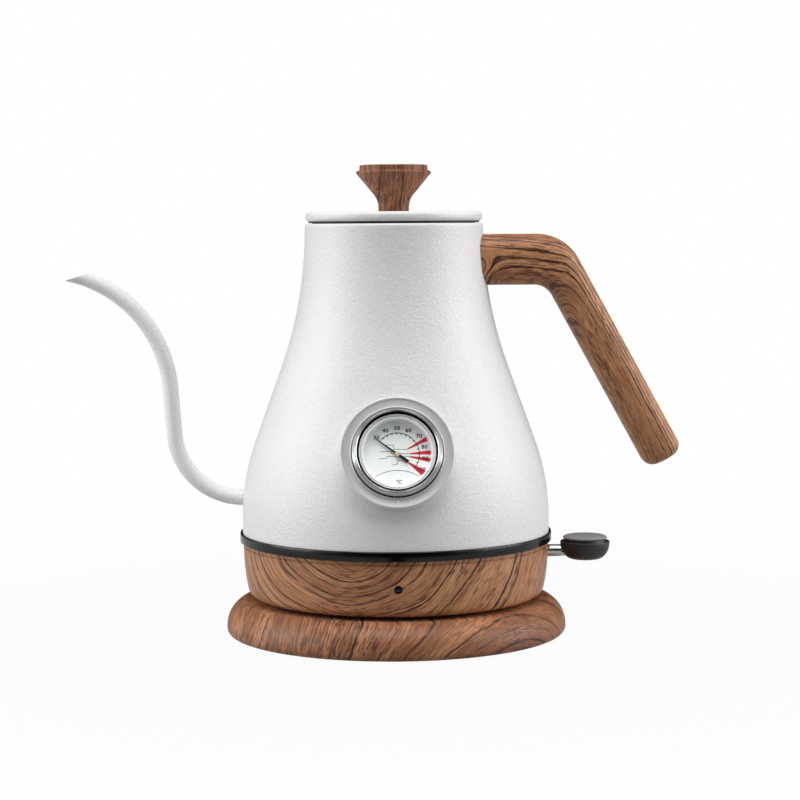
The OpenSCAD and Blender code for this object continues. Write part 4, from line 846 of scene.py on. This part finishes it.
def spout_path(name, over):
    """Middle line of the spout as a curve, run on by over at both ends."""
    line = [(root_x + SPOUT_ROOT_IN + over, root_z)]
    for i in range(33):
        turn = radians(SPOUT_LOW_TURN * i / 32)
        line.append((low_x - SPOUT_LOW_R * sin(turn), low_z - SPOUT_LOW_R * cos(turn)))
    for i in range(49):
        turn = rise + radians(SPOUT_TOP_TURN * i / 48)
        line.append((top_x + SPOUT_TOP_R * sin(turn), top_z - SPOUT_TOP_R * cos(turn)))
    if over:
        line.append((line[-1][0] + over * cos(tip_turn), line[-1][1] + over * sin(tip_turn)))
    curve = bpy.data.curves.new(name, "CURVE")
    curve.dimensions = "3D"
    spline = curve.splines.new("POLY")
    spline.points.add(len(line) - 1)
    for point, (x, z) in zip(spline.points, line):
        point.co = (x * MM, 0, z * MM, 1)
    return add_object(name, curve)


def make_spout():
    """A tube that follows the spout's line, bored through and cut off aslant at its tip."""
    bore_path = spout_path("bore_path", 2.0)
    lip_r = SPOUT_TOP_R - SPOUT_R
    lip = ((top_x + lip_r * sin(tip_turn)) * MM, 0, (top_z - lip_r * cos(tip_turn)) * MM)
    tip_cut = block("tip_cut", (-10, -20, 0), (40, 20, 30),
                    Matrix.Translation(lip) @ Matrix.Rotation(radians(-TIP_ANGLE), 4, "Y"))
    build = Build("spout_tube", Bore_Path=bore_path, Tip_Cut=tip_cut, Tube_Radius=SPOUT_R * MM,
                  Bore_Radius=(SPOUT_R - SPOUT_WALL) * MM, Sides=64, Finish=LIGHTENED_SPOUT_PAINT)
    tubes = []
    bore_line = build.shape_of("Bore_Path")
    for path, radius in ((build.size("Geometry"), "Tube_Radius"), (bore_line, "Bore_Radius")):
        ring = build.add("GeometryNodeCurvePrimitiveCircle",
                         {"Resolution": build.size("Sides"), "Radius": build.size(radius)})
        tubes.append(build.add("GeometryNodeCurveToMesh",
                               {"Curve": path, "Profile Curve": ring, "Fill Caps": True}))
    shape = build.cut(build.cut(*tubes), build.shape_of("Tip_Cut"))
    spout = build.bake(spout_path("gooseneck", 0), shape)
    bpy.data.objects.remove(bore_path)
    bpy.data.objects.remove(tip_cut)
    return soften(spout, 40)


dress(make_spout(), "kettle", "white_paint", ["spout"], LIGHTENED_SPOUT_PAINT)

# ---------------------------------------------------------------- handle

slope_x, slope_z = cos(GRIP_SLOPE), -sin(GRIP_SLOPE)
reach = (cos(GRIP_SLOPE) * GRIP_T - ARM_H) / 2 / tan(GRIP_SLOPE)
corner_out = (CORNER_X + sin(GRIP_SLOPE) * GRIP_T / 2 + reach, ARM_Z + ARM_H / 2)
corner_in = (CORNER_X - sin(GRIP_SLOPE) * GRIP_T / 2 - reach, ARM_Z - ARM_H / 2)
ARM_RINGS, BEND_RINGS, GRIP_RINGS, END_RINGS, CORNER_POINTS = 9, 24, 20, 8, 9


def bend_point(corner, r, a):
    """A point at angle a of the bend of radius r, which touches both straight edges that meet at corner."""
    return corner[0] - r * tan(GRIP_SLOPE / 2) + r * sin(a), corner[1] + r * cos(a) - r


def handle_edge(corner, r):
    """Upper or lower edge of the handle, one point for each ring."""
    first = bend_point(corner, r, 0)
    last = bend_point(corner, r, GRIP_SLOPE)
    line = [(ARM_IN_X + (first[0] - ARM_IN_X) * i / ARM_RINGS, corner[1]) for i in range(ARM_RINGS)]
    line += [bend_point(corner, r, GRIP_SLOPE * i / BEND_RINGS) for i in range(BEND_RINGS + 1)]
    gone = (last[0] - CORNER_X) * slope_x + (last[1] - ARM_Z) * slope_z
    left = GRIP_LEN - GRIP_END_R - gone
    line += [(last[0] + slope_x * left * i / GRIP_RINGS, last[1] + slope_z * left * i / GRIP_RINGS)
             for i in range(1, GRIP_RINGS + 1)]
    return line


def handle_ring(p, q, width, shrink=0.0, shift=0.0):
    """A rounded rectangle between points p and q of the edges, shrunk all round and shifted down the grip."""
    mid_x, mid_z = (p[0] + q[0]) / 2 + slope_x * shift, (p[1] + q[1]) / 2 + slope_z * shift
    gap = sqrt((p[0] - q[0]) ** 2 + (p[1] - q[1]) ** 2)
    dir_x, dir_z = (p[0] - q[0]) / gap, (p[1] - q[1]) / gap
    half, half_w = gap / 2 - shrink, width / 2 - shrink
    r = min(GRIP_ROUND, half - 0.5, half_w - 0.5)
    points = []
    for k in range(4):
        for i in range(CORNER_POINTS + 1):
            a = radians(90 * k + 90 * i / CORNER_POINTS)
            u = (1 if k in (0, 3) else -1) * (half - r) + r * cos(a)
            v = (1 if k < 2 else -1) * (half_w - r) + r * sin(a)
            points.append((mid_x + dir_x * u, v, mid_z + dir_z * u))
    return points


def make_handle():
    """Rings along the arm, the bend and the grip, closed by a rounded end, and fitted to the pot."""
    top, low = handle_edge(corner_out, BEND_OUT_R), handle_edge(corner_in, BEND_IN_R)
    taper = ARM_RINGS + BEND_RINGS
    rings = [handle_ring(p, q, ARM_W + (GRIP_W - ARM_W) * min(1, i / taper))
             for i, (p, q) in enumerate(zip(top, low))]
    for i in range(1, END_RINGS + 1):
        a = radians(GRIP_END_TURN * i / END_RINGS)
        rings.append(handle_ring(top[-1], low[-1], GRIP_W, GRIP_END_R * (1 - cos(a)), GRIP_END_R * sin(a)))
    handle = stacked("handle", [rings])
    bm = bmesh.new()
    bm.from_mesh(handle.data)
    bmesh.ops.recalc_face_normals(bm, faces=bm.faces)
    bm.to_mesh(handle.data)
    bm.free()
    arm_low_z = ARM_Z - ARM_H / 2
    recess = rod("screw_recess", HANDLE_HEAD_R + FIT_GAP, (HANDLE_SCREW_X, 0, arm_low_z - 1),
                 (HANDLE_SCREW_X, 0, arm_low_z + HEAD_RECESS), 32)
    return carve(handle, body_solid(FIT_GAP), recess, angle=50)


dress(make_handle(), "kettle", "wood_effect", ["handle_grip"], HANDLE_WOOD)

# ---------------------------------------------------------------- lid and knob

lid_edge_x = LID_R - LID_EDGE_R
lid_edge_low_z, lid_edge_top_z = LID_Z + LID_EDGE_R, LID_TOP_Z - LID_EDGE_R


def lid_edge(r, steps):
    """The lid's round edge from its underside to its top."""
    return (arc(lid_edge_x, lid_edge_low_z, r, -90, 0, steps)
            + arc(lid_edge_x, lid_edge_top_z, r, 0, 90, steps))


lid_inner = [(r - 0.1, z) for r, z in reversed(lid_edge(LID_EDGE_R - LID_SHEET, 6))]
lid_loop = (
    [(PAN_R - LID_SHEET, LID_Z)] + lid_edge(LID_EDGE_R, 10)
    + [(LID_HOLE_R, LID_TOP_Z), (LID_HOLE_R, LID_TOP_Z - LID_SHEET)] + lid_inner
    + [(PAN_R - LID_SHEET, LID_Z + LID_SHEET)]
)
dress(turned("lid_disc", lid_loop, BIG_TURN), "lid", "white_paint", ["lid_top"])

flare_mid_x, flare_mid_z = KNOB_FOOT_R + KNOB_FLARE_R, LID_TOP_Z + KNOB_NECK_H
flare_end_x = flare_mid_x - KNOB_FLARE_R * cos(radians(KNOB_ANGLE))
flare_end_z = flare_mid_z + KNOB_FLARE_R * sin(radians(KNOB_ANGLE))
rim_low_z = flare_end_z + (KNOB_R - flare_end_x) / tan(radians(KNOB_ANGLE))
rim_z = rim_low_z + KNOB_RIM_H
knob_z = rim_z + KNOB_TOP_H
knob_loop = (
    [(0, LID_TOP_Z), (KNOB_FOOT_R - 0.3, LID_TOP_Z), (KNOB_FOOT_R, LID_TOP_Z + 0.3)]
    + arc(flare_mid_x, flare_mid_z, KNOB_FLARE_R, 180, 180 - KNOB_ANGLE, 16)
    + arc(KNOB_R - KNOB_EDGE_R, rim_low_z + KNOB_EDGE_R, KNOB_EDGE_R, -KNOB_ANGLE, 90, 8)
    + [(KNOB_TOP_R + 0.4, rim_z), (KNOB_TOP_R + 0.1, rim_z + 0.1), (KNOB_TOP_R, rim_z + 0.4)]
    + arc(KNOB_TOP_R - KNOB_EDGE_R, knob_z - KNOB_EDGE_R, KNOB_EDGE_R, 0, 90, 8)
    + [(0, knob_z)]
)
dress(turned("knob", knob_loop, SMALL_TURN), "lid", "knob_wood", ["lid_knob"])

# ---------------------------------------------------------------- dial thermometer

face_z = FLANGE_PROUD - 0.6
flange_in_r = BEZEL_R + RUN_GAP
flange_deep = -12
flange_loop = (
    [(flange_in_r, flange_deep), (FLANGE_R, flange_deep)]
    + arc(FLANGE_R - FLANGE_EDGE_R, FLANGE_PROUD - FLANGE_EDGE_R, FLANGE_EDGE_R, 0, 90, 8)
    + [(FLANGE_R - 1.1, FLANGE_PROUD - 0.05), (FLANGE_R - 1.5, FLANGE_PROUD - 0.5), (FLANGE_R - 1.8, face_z),
       (BEZEL_R + 1.1, face_z)]
    + arc(BEZEL_R + 0.6, FLANGE_PROUD - 0.35, 0.25, 30, 150, 5)
    + [(flange_in_r, FLANGE_PROUD - 0.5)]
)
flange = carve(turned("dial_flange", flange_loop, DIAL_TURN, DIAL_PLACE), body_solid(FIT_GAP / 2))
dress(flange, "kettle", "satin_metal", ["gauge_flange"])

bezel_foot_z, bezel_edge_z = FLANGE_PROUD - 1.6, BEZEL_TOP - 1.6
bezel_in_r = INNER_RING_R + 0.7
bezel_lip_z = BEZEL_TOP - 0.7
bezel_loop = (
    [(BEZEL_R - BEZEL_T, bezel_foot_z), (BEZEL_R, bezel_foot_z), (BEZEL_R, bezel_edge_z),
     (BEZEL_R - 0.1, bezel_edge_z + 0.15), (BEZEL_R - 1.25, BEZEL_TOP - 0.3)]
    + arc(BEZEL_R - 1.6, BEZEL_TOP - BEZEL_LIP_R, BEZEL_LIP_R, 50, 110, 6)
    + [(bezel_in_r + 0.25, BEZEL_TOP - 0.2), (bezel_in_r, BEZEL_TOP - 0.45), (bezel_in_r, bezel_lip_z),
       (BEZEL_R - BEZEL_T, bezel_lip_z)]
)
PLATED = metal("plated_bezel", colour(168, 169, 171), 0.22, scale=300, depth=0.0000002, tint=0.02)
dress(turned("dial_bezel", bezel_loop, DIAL_TURN, DIAL_PLACE), "kettle", "chrome", ["gauge_bezel"], PLATED)

glass_r, glass_top = CASE_IN_R + 0.6, GLASS_LOW + GLASS_T
glass_loop = [(0, GLASS_LOW), (glass_r, GLASS_LOW), (glass_r, glass_top - 0.1), (glass_r - 0.1, glass_top),
              (0, glass_top)]
dress(turned("dial_window", glass_loop, SMALL_TURN, DIAL_PLACE), "kettle", "glass", ["gauge_glass"])

seal_high = GLASS_LOW - 0.05
seal_in_r, seal_foot_r, seal_out_r = INNER_RING_R - 0.3, INNER_RING_R + 0.1, CASE_IN_R - 0.1
seal_loop = [(seal_foot_r, SHELF_Z), (seal_out_r, SHELF_Z), (seal_out_r, seal_high - 0.2),
             (seal_out_r - 0.1, seal_high), (seal_in_r + 0.1, seal_high), (seal_in_r, seal_high - 0.1),
             (seal_in_r, seal_high - 0.35), (seal_foot_r, seal_high - 0.4)]
dress(turned("dial_seal", seal_loop, DIAL_TURN, DIAL_PLACE), "kettle", "black_trim", ["gauge_seal_ring"])

ring_top = GLASS_LOW - 0.5
step_r = (DIAL_R + INNER_RING_R) / 2
groove_out_r, groove_in_r, groove_z = step_r + 0.2, step_r - 0.15, ring_top - 1.2
ring_loop = [(DIAL_R, PLATE_TOP), (DIAL_R + 0.5, PLATE_TOP), (DIAL_R + 0.5, SHELF_Z), (INNER_RING_R, SHELF_Z),
             (INNER_RING_R, ring_top - 0.15), (INNER_RING_R - 0.15, ring_top), (groove_out_r + 0.1, ring_top),
             (groove_out_r, ring_top - 0.1), (groove_out_r, groove_z), (groove_in_r, groove_z),
             (groove_in_r, ring_top - 0.25), (groove_in_r - 0.1, ring_top - 0.15),
             (DIAL_R + 0.05, ring_top - 0.3), (DIAL_R - 0.1, ring_top - 0.45),
             (DIAL_R - 0.1, PLATE_TOP + 0.9), (DIAL_R, PLATE_TOP + 0.8)]
BRIGHT_RING = metal("bright_ring", colour(236, 236, 237), 0.35, scale=900, depth=0.0000002, tint=0.01,
                    bare=0.3)
dress(turned("dial_inner_rim", ring_loop, DIAL_TURN, DIAL_PLACE), "kettle", "chrome", ["gauge_inner_ring"],
      BRIGHT_RING)

plate_r, plate_low = WELL_R - 0.1, PLATE_TOP - PLATE_T
plate_loop = [(SHAFT_R, plate_low), (plate_r, plate_low), (plate_r, PLATE_TOP), (SHAFT_R, PLATE_TOP)]
dress(turned("dial_plate", plate_loop, SMALL_TURN, DIAL_PLACE), "kettle", "dial_face", ["gauge_dial"])

# ---------------------------------------------------------------- print on the dial, needle and a white mark on the flange


def print_on_dial(name, outlines, material, lift=0.0):
    """Flat printed shapes with the ink's thickness, from closed outlines of (x, y) on the dial."""
    raised = upright(outlines, PLATE_TOP - 0.01, PLATE_TOP + INK_T + lift)
    return dress(stacked(name, raised, DIAL_PLACE), "kettle", "dial_face", material=material)


def polar(r, a):
    """The point at radius r and angle a in degrees."""
    return r * cos(radians(a)), r * sin(radians(a))


def line_shape(points, width):
    """A thin line through points as a row of four-sided pieces."""
    shapes = []
    for (x0, y0), (x1, y1) in zip(points, points[1:]):
        size = sqrt((x1 - x0) ** 2 + (y1 - y0) ** 2)
        ux, uy = (x1 - x0) / size * width / 2, (y1 - y0) / size * width / 2
        shapes.append([(x0 - ux + uy, y0 - uy - ux), (x1 + ux + uy, y1 + uy - ux),
                       (x1 + ux - uy, y1 + uy + ux), (x0 - ux - uy, y0 - uy + ux)])
    return shapes


def band(r, width, a0, a1):
    """A band along an arc from a0 up to a1 degrees, as one outline."""
    return arc(0, 0, r + width / 2, a0, a1, 60) + arc(0, 0, r - width / 2, a1, a0, 60)


FOOT_ARC_Y = -26.9
print_on_dial("scale_arc", [band(SCALE_R, 0.36, SCALE_FROM - SCALE_SWEEP, SCALE_FROM)], BLACK_INK, 0.01)
print_on_dial("foot_arc", [[(x, y + FOOT_ARC_Y) for x, y in band(19.3, 0.26, 57.5, 122.5)]], GREY_INK)

# middle and half width of each zone in degrees, and its inner radius
ZONES = [(28.2, 3.9, 5.6), (3.4, 4.0, 5.9), (-10.4, 3.9, 5.9), (-36.6, 5.8, 6.4)]
ZONE_TIP, ZONE_OUT_R, ZONE_CREST_R = 3.2, 15.6, 15.75
wedges = [[polar(inner_r, middle - ZONE_TIP), polar(ZONE_OUT_R, middle - half), polar(ZONE_CREST_R, middle),
           polar(ZONE_OUT_R, middle + half), polar(inner_r, middle + ZONE_TIP)]
          for middle, half, inner_r in ZONES]
print_on_dial("heat_zones", wedges, RED_INK)

LEADERS = [
    [(-5.4, 4.6), (-1.9, 4.6), (-1.6, 2.5), (5.0, 2.5)],
    [(-8.1, 1.4), (-2.7, 1.4), (-2.7, 0.4), (6.0, 0.4)],
    [(-8.5, -1.9), (-5.2, -1.9), (-4.6, -1.0), (6.0, -1.0)],
    [(-2.3, -4.9), (-0.2, -4.9), (0.4, -2.9), (3.2, -2.9)],
]
LEADER_W = 0.24
print_on_dial("leader_lines", [s for points in LEADERS for s in line_shape(points, LEADER_W)], GREY_INK)


def make_ticks():
    """Scale marks every 5 degrees of heat, longer at each 10, set along the scale's arc."""
    build = Build("scale_marks", Marks=15, Scale_Radius=(SCALE_R - 0.35) * MM, First=SCALE_FROM,
                  Sweep=SCALE_SWEEP, Long=1.15 * MM, Short=0.75 * MM, Width=0.48 * MM,
                  Thickness=INK_T * MM, Finish=BLACK_INK)
    row = build.add("GeometryNodePoints", {"Count": build.size("Marks")})
    index = build.add("GeometryNodeInputIndex")
    share = build.math("DIVIDE", index, build.math("SUBTRACT", build.size("Marks"), 1.0))
    gone = build.math("MULTIPLY", share, build.size("Sweep"))
    turn = build.math("RADIANS", build.math("SUBTRACT", build.size("First"), gone))
    reach = build.join(x=build.size("Scale_Radius"))
    place = build.add("ShaderNodeVectorRotate", {"Vector": reach, "Angle": turn}, rotation_type="Z_AXIS")
    spots = build.add("GeometryNodeSetPosition", {"Geometry": row, "Position": place})
    odd = build.math("MODULO", index, 2.0)
    cut = build.math("SUBTRACT", build.size("Short"), build.size("Long"))
    length = build.math("MULTIPLY_ADD", odd, cut, build.size("Long"))
    unit = build.add("GeometryNodeMeshCube", {"Size": (1, 1, 1)})
    marks = build.add("GeometryNodeInstanceOnPoints", {
        "Points": spots, "Instance": unit, "Rotation": build.join(z=turn),
        "Scale": build.join(length, build.size("Width"), build.size("Thickness"))})
    ticks = build.bake(mesh_piece("scale_ticks", [(0, 0, 0)], []), marks)
    ticks.data.transform(DIAL_PLACE @ Matrix.Translation((0, 0, (PLATE_TOP + 0.02) * MM)))
    return ticks


dress(make_ticks(), "kettle", "dial_face", material=BLACK_INK)

CAPITAL_SHARE = 0.70


def lettering(name, marks):
    """Numbers and signs on the dial: (text, x, y, height of a figure in mm, slant)."""
    bm = bmesh.new()
    for text, x, y, height, slant in marks:
        curve = bpy.data.curves.new(name, "FONT")
        curve.body = text
        curve.align_x = curve.align_y = "CENTER"
        curve.size = height / CAPITAL_SHARE * MM
        curve.extrude = INK_T / 2 * MM
        curve.shear = slant
        curve.space_character = 1.1
        curve.offset = 0.075 * MM
        curve.resolution_u = 3
        mark = as_mesh(add_object(name, curve))
        mark.data.transform(DIAL_PLACE @ Matrix.Translation((x * MM, y * MM, (PLATE_TOP + INK_T) * MM)))
        bm.from_mesh(mark.data)
        bpy.data.objects.remove(mark)
    mesh = bpy.data.meshes.new(name)
    bm.to_mesh(mesh)
    bm.free()
    return add_object(name, mesh)


NUMBERS = 8
NUMBER_H = 1.9
NUMBER_FROM, NUMBER_STEP = 139.6, 24.8
NUMBER_R, FAR_NUMBER_R = 12.7, {70: 13.5, 80: 13.2, 90: 13.2, 100: 13.2}
numbers = []
for i in range(NUMBERS):
    degree = 30 + 10 * i
    x, y = polar(FAR_NUMBER_R.get(degree, NUMBER_R), NUMBER_FROM - NUMBER_STEP * i)
    numbers.append((str(degree), x, y, NUMBER_H, 0.0))
numbers.append(("°C", 0.4, -13.2, 1.7, 0.25))
dress(lettering("scale_numbers", numbers), "kettle", "dial_face", material=BLACK_INK)

blade_half = [(12.2, 0.2), (1.1, 0.5), (0, 1.1), (-1.1, 0.66), (-6.3, 0.86)]
blade = blade_half + [(x, -y) for x, y in reversed(blade_half)]
blade_top = [(x - 0.08 if x > 0 else x + 0.08, y * 0.84, BLADE_LOW + BLADE_T) for x, y in blade]
blade_rows = upright([blade], BLADE_LOW, BLADE_LOW + BLADE_T * 0.7)[0] + [blade_top]
needle = stacked("needle_blade", [blade_rows], DIAL_PLACE @ Matrix.Rotation(radians(NEEDLE_ZERO), 4, "Z"))
dress(soften(needle, 20), "needle", "needle_black", ["gauge_needle"])

# a small white mark on the flange below the dial, 0.6 by 1.7 mm
index_mark = [(-0.3, -24.3), (0.3, -24.3), (0.3, -22.6), (-0.3, -22.6)]
mark = stacked("index_mark", upright([index_mark], face_z - 0.02, face_z + 0.05), DIAL_PLACE)
dress(mark, "kettle", "dial_face", material=ink("index_white", colour(244, 244, 244)))

# ---------------------------------------------------------------- switch lever

paddle_edge_r = 0.35
paddle_bowl = [(PADDLE_FOOT_R + (PADDLE_R - PADDLE_FOOT_R) * sin(radians(a)),
                PADDLE_WIDE_Z - PADDLE_BOWL_H * cos(radians(a))) for a in range(6, 91, 6)]
paddle_loop = (
    [(0, PADDLE_LOW_Z), (PADDLE_FOOT_R, PADDLE_LOW_Z)] + paddle_bowl
    + arc(PADDLE_R - paddle_edge_r, PADDLE_WIDE_Z + 0.4, paddle_edge_r, 0, 80, 4)
    + [(PAD_R + 0.35, PADDLE_WIDE_Z + 0.7), (PAD_R - 0.6, PADDLE_WIDE_Z + 0.5), (PAD_R - 0.8, PAD_Z - 0.2),
       (PAD_R - 0.8, PAD_Z), (0, PAD_Z)]
)
PADDLE_PLACE = Matrix.Translation((PADDLE_X * MM, 0, 0))
PADDLE_BLACK = moulded("paddle_black", colour(40, 40, 41), 0.42, texture=1400, depth=0.00002)
rod_z = LEVER_Z - ROD_DROP
rod_hole = rod("rod_hole", 2.0, (PADDLE_X - 14, 0, rod_z), (PADDLE_X - 6, 0, rod_z), 32)
paddle = carve(turned("paddle", paddle_loop, SMALL_TURN, PADDLE_PLACE), rod_hole)
dress(paddle, "switch_lever", "black_trim", ["lever_paddle"], PADDLE_BLACK)

pad_top_z = PAD_Z + PAD_T
pad_loop = (
    [(0, PAD_Z), (PAD_R - 0.7, PAD_Z)] + arc(PAD_R - 0.5, PAD_Z + 0.9, 0.5, -60, 60, 8)
    + [(PAD_R - 1.2, pad_top_z - 0.15), (PAD_R - 2.2, pad_top_z), (0, pad_top_z)]
)
dress(turned("paddle_top", pad_loop, SMALL_TURN, PADDLE_PLACE), "switch_lever", "grey_pad", ["paddle_pad"])

# ---------------------------------------------------------------- studio

FLOOR_SHOW = 0.96
FLOOR_MIRRORED = 0.35
FLOOR_PAPER = 0.36
AMBIENT = 0.36
FLOOR_HALF, FLOOR_T = 6000, 20


def any_ray(tree, *rays):
    """One for the named kinds of ray, zero for the others."""
    path = tree.add("ShaderNodeLightPath")
    seen = path.outputs[rays[0]]
    for ray in rays[1:]:
        seen = tree.math("MAXIMUM", seen, path.outputs[ray])
    return seen


def floor_surface(tree):
    """Pale paper that keeps the shadow near the kettle and runs out to plain white."""
    paper = tree.add("ShaderNodeBsdfDiffuse", {"Color": (FLOOR_PAPER,) * 3 + (1,)})
    white = tree.add("ShaderNodeEmission", {"Strength": 1.0})
    away = tree.vector("LENGTH", tree.add("ShaderNodeTexCoord").outputs["Object"])
    fade = tree.span(away, 0.15, 0.6, FLOOR_SHOW, 1.0, kind="LINEAR")
    direct = any_ray(tree, "Is Camera Ray", "Is Transmission Ray")
    mirrored = tree.span(any_ray(tree, "Is Glossy Ray"), 0, 1, 0, FLOOR_MIRRORED, kind="LINEAR")
    share = tree.math("MULTIPLY", tree.math("MAXIMUM", direct, mirrored), fade)
    return tree.add("ShaderNodeMixShader", {0: share, 1: paper, 2: white})


def black_surface(tree):
    """Matt black cloth."""
    return tree.add("ShaderNodeBsdfDiffuse", {"Color": (0.01, 0.01, 0.01, 1)})


def studio_finish(name, surface):
    """A finish for a stage piece, which is never sampled as a lamp."""
    material = bpy.data.materials.new(name)
    material.use_nodes = True
    material.node_tree.nodes.clear()
    tree = Tree(material.node_tree)
    tree.add("ShaderNodeOutputMaterial", {"Surface": surface(tree)})
    material.cycles.emission_sampling = "NONE"
    return material


floor = block("floor", (-FLOOR_HALF, -FLOOR_HALF, -FLOOR_T), (FLOOR_HALF, FLOOR_HALF, 0))
floor.data.materials.append(studio_finish("floor_paper", floor_surface))

world = bpy.data.worlds.new("studio")
bpy.context.scene.world = world
world.use_nodes = True
air = world.node_tree.nodes["Background"]
air.inputs["Color"].default_value = (1, 1, 1, 1)
sky = Tree(world.node_tree)
seen = any_ray(sky, "Is Camera Ray", "Is Glossy Ray", "Is Transmission Ray")
sky.feed(air.inputs["Strength"], sky.span(seen, 0, 1, AMBIENT, 1.0, kind="LINEAR"))

# cards that the camera doesn't see: name, low and high corner, and whether they also shade the kettle
CARDS = (
    ("front_card", (-1500, -1620, 0), (1500, -1600, 1500), True),
    ("front_cloth", (-620, -1600, 0.5), (620, -330, 2), True),
    ("near_cloth", (-22, -330, 0.5), (22, -120, 2), False),
    ("over_strip", (-140, -500, 1100), (140, 1500, 1102), False),
    ("back_card", (-1500, 1100, 0), (1500, 1102, 1500), False),
)
cloth_finish = studio_finish("black_cloth", black_surface)
for name, low, high, shades in CARDS:
    card = block(name, low, high)
    card.data.materials.append(cloth_finish)
    card.visible_camera = False
    card.visible_diffuse = shades
    card.visible_shadow = shades

LIGHT_AIM = Vector((0, 0, 0.12))
SIDE_POWER, TOP_POWER = 14.0, 13


def soft_box(name, place, width, height, power):
    """A soft rectangular lamp, in metres and watts, turned towards the kettle."""
    lamp = bpy.data.lights.new(name, "AREA")
    lamp.shape = "RECTANGLE"
    lamp.size, lamp.size_y, lamp.energy = width, height, power
    obj = add_object(name, lamp)
    obj.location = place
    obj.rotation_euler = (LIGHT_AIM - Vector(place)).to_track_quat("-Z", "Y").to_euler()


for side in (-1, 1):
    soft_box("side_box", (side * 1.37, -0.2, 0.45), 1.0, 1.2, SIDE_POWER)
soft_box("top_box", (0, -0.5, 1.45), 1.1, 0.9, TOP_POWER)

# ---------------------------------------------------------------- camera

FOCAL_PIXELS, PICTURE_PIXELS, SENSOR_MM = 2193, 800, 36
CAMERA_PLACE = (0.0025, -1.086, 0.2043)
CAMERA_SIDE, CAMERA_DOWN, CAMERA_ROLL = -0.9, 4.61, -0.37

camera_data = bpy.data.cameras.new("view")
camera_data.sensor_width = SENSOR_MM
camera_data.lens = FOCAL_PIXELS / PICTURE_PIXELS * SENSOR_MM
camera_data.clip_start = 0.05
camera = add_object("view", camera_data)
camera.matrix_world = (
    Matrix.Rotation(radians(CAMERA_SIDE), 4, "Z")
    @ Matrix.Translation(CAMERA_PLACE)
    @ Matrix.Rotation(radians(90 - CAMERA_DOWN), 4, "X")
    @ Matrix.Rotation(radians(CAMERA_ROLL), 4, "Z")
)
bpy.context.scene.camera = camera
bpy.context.scene.view_settings.view_transform = "Standard"
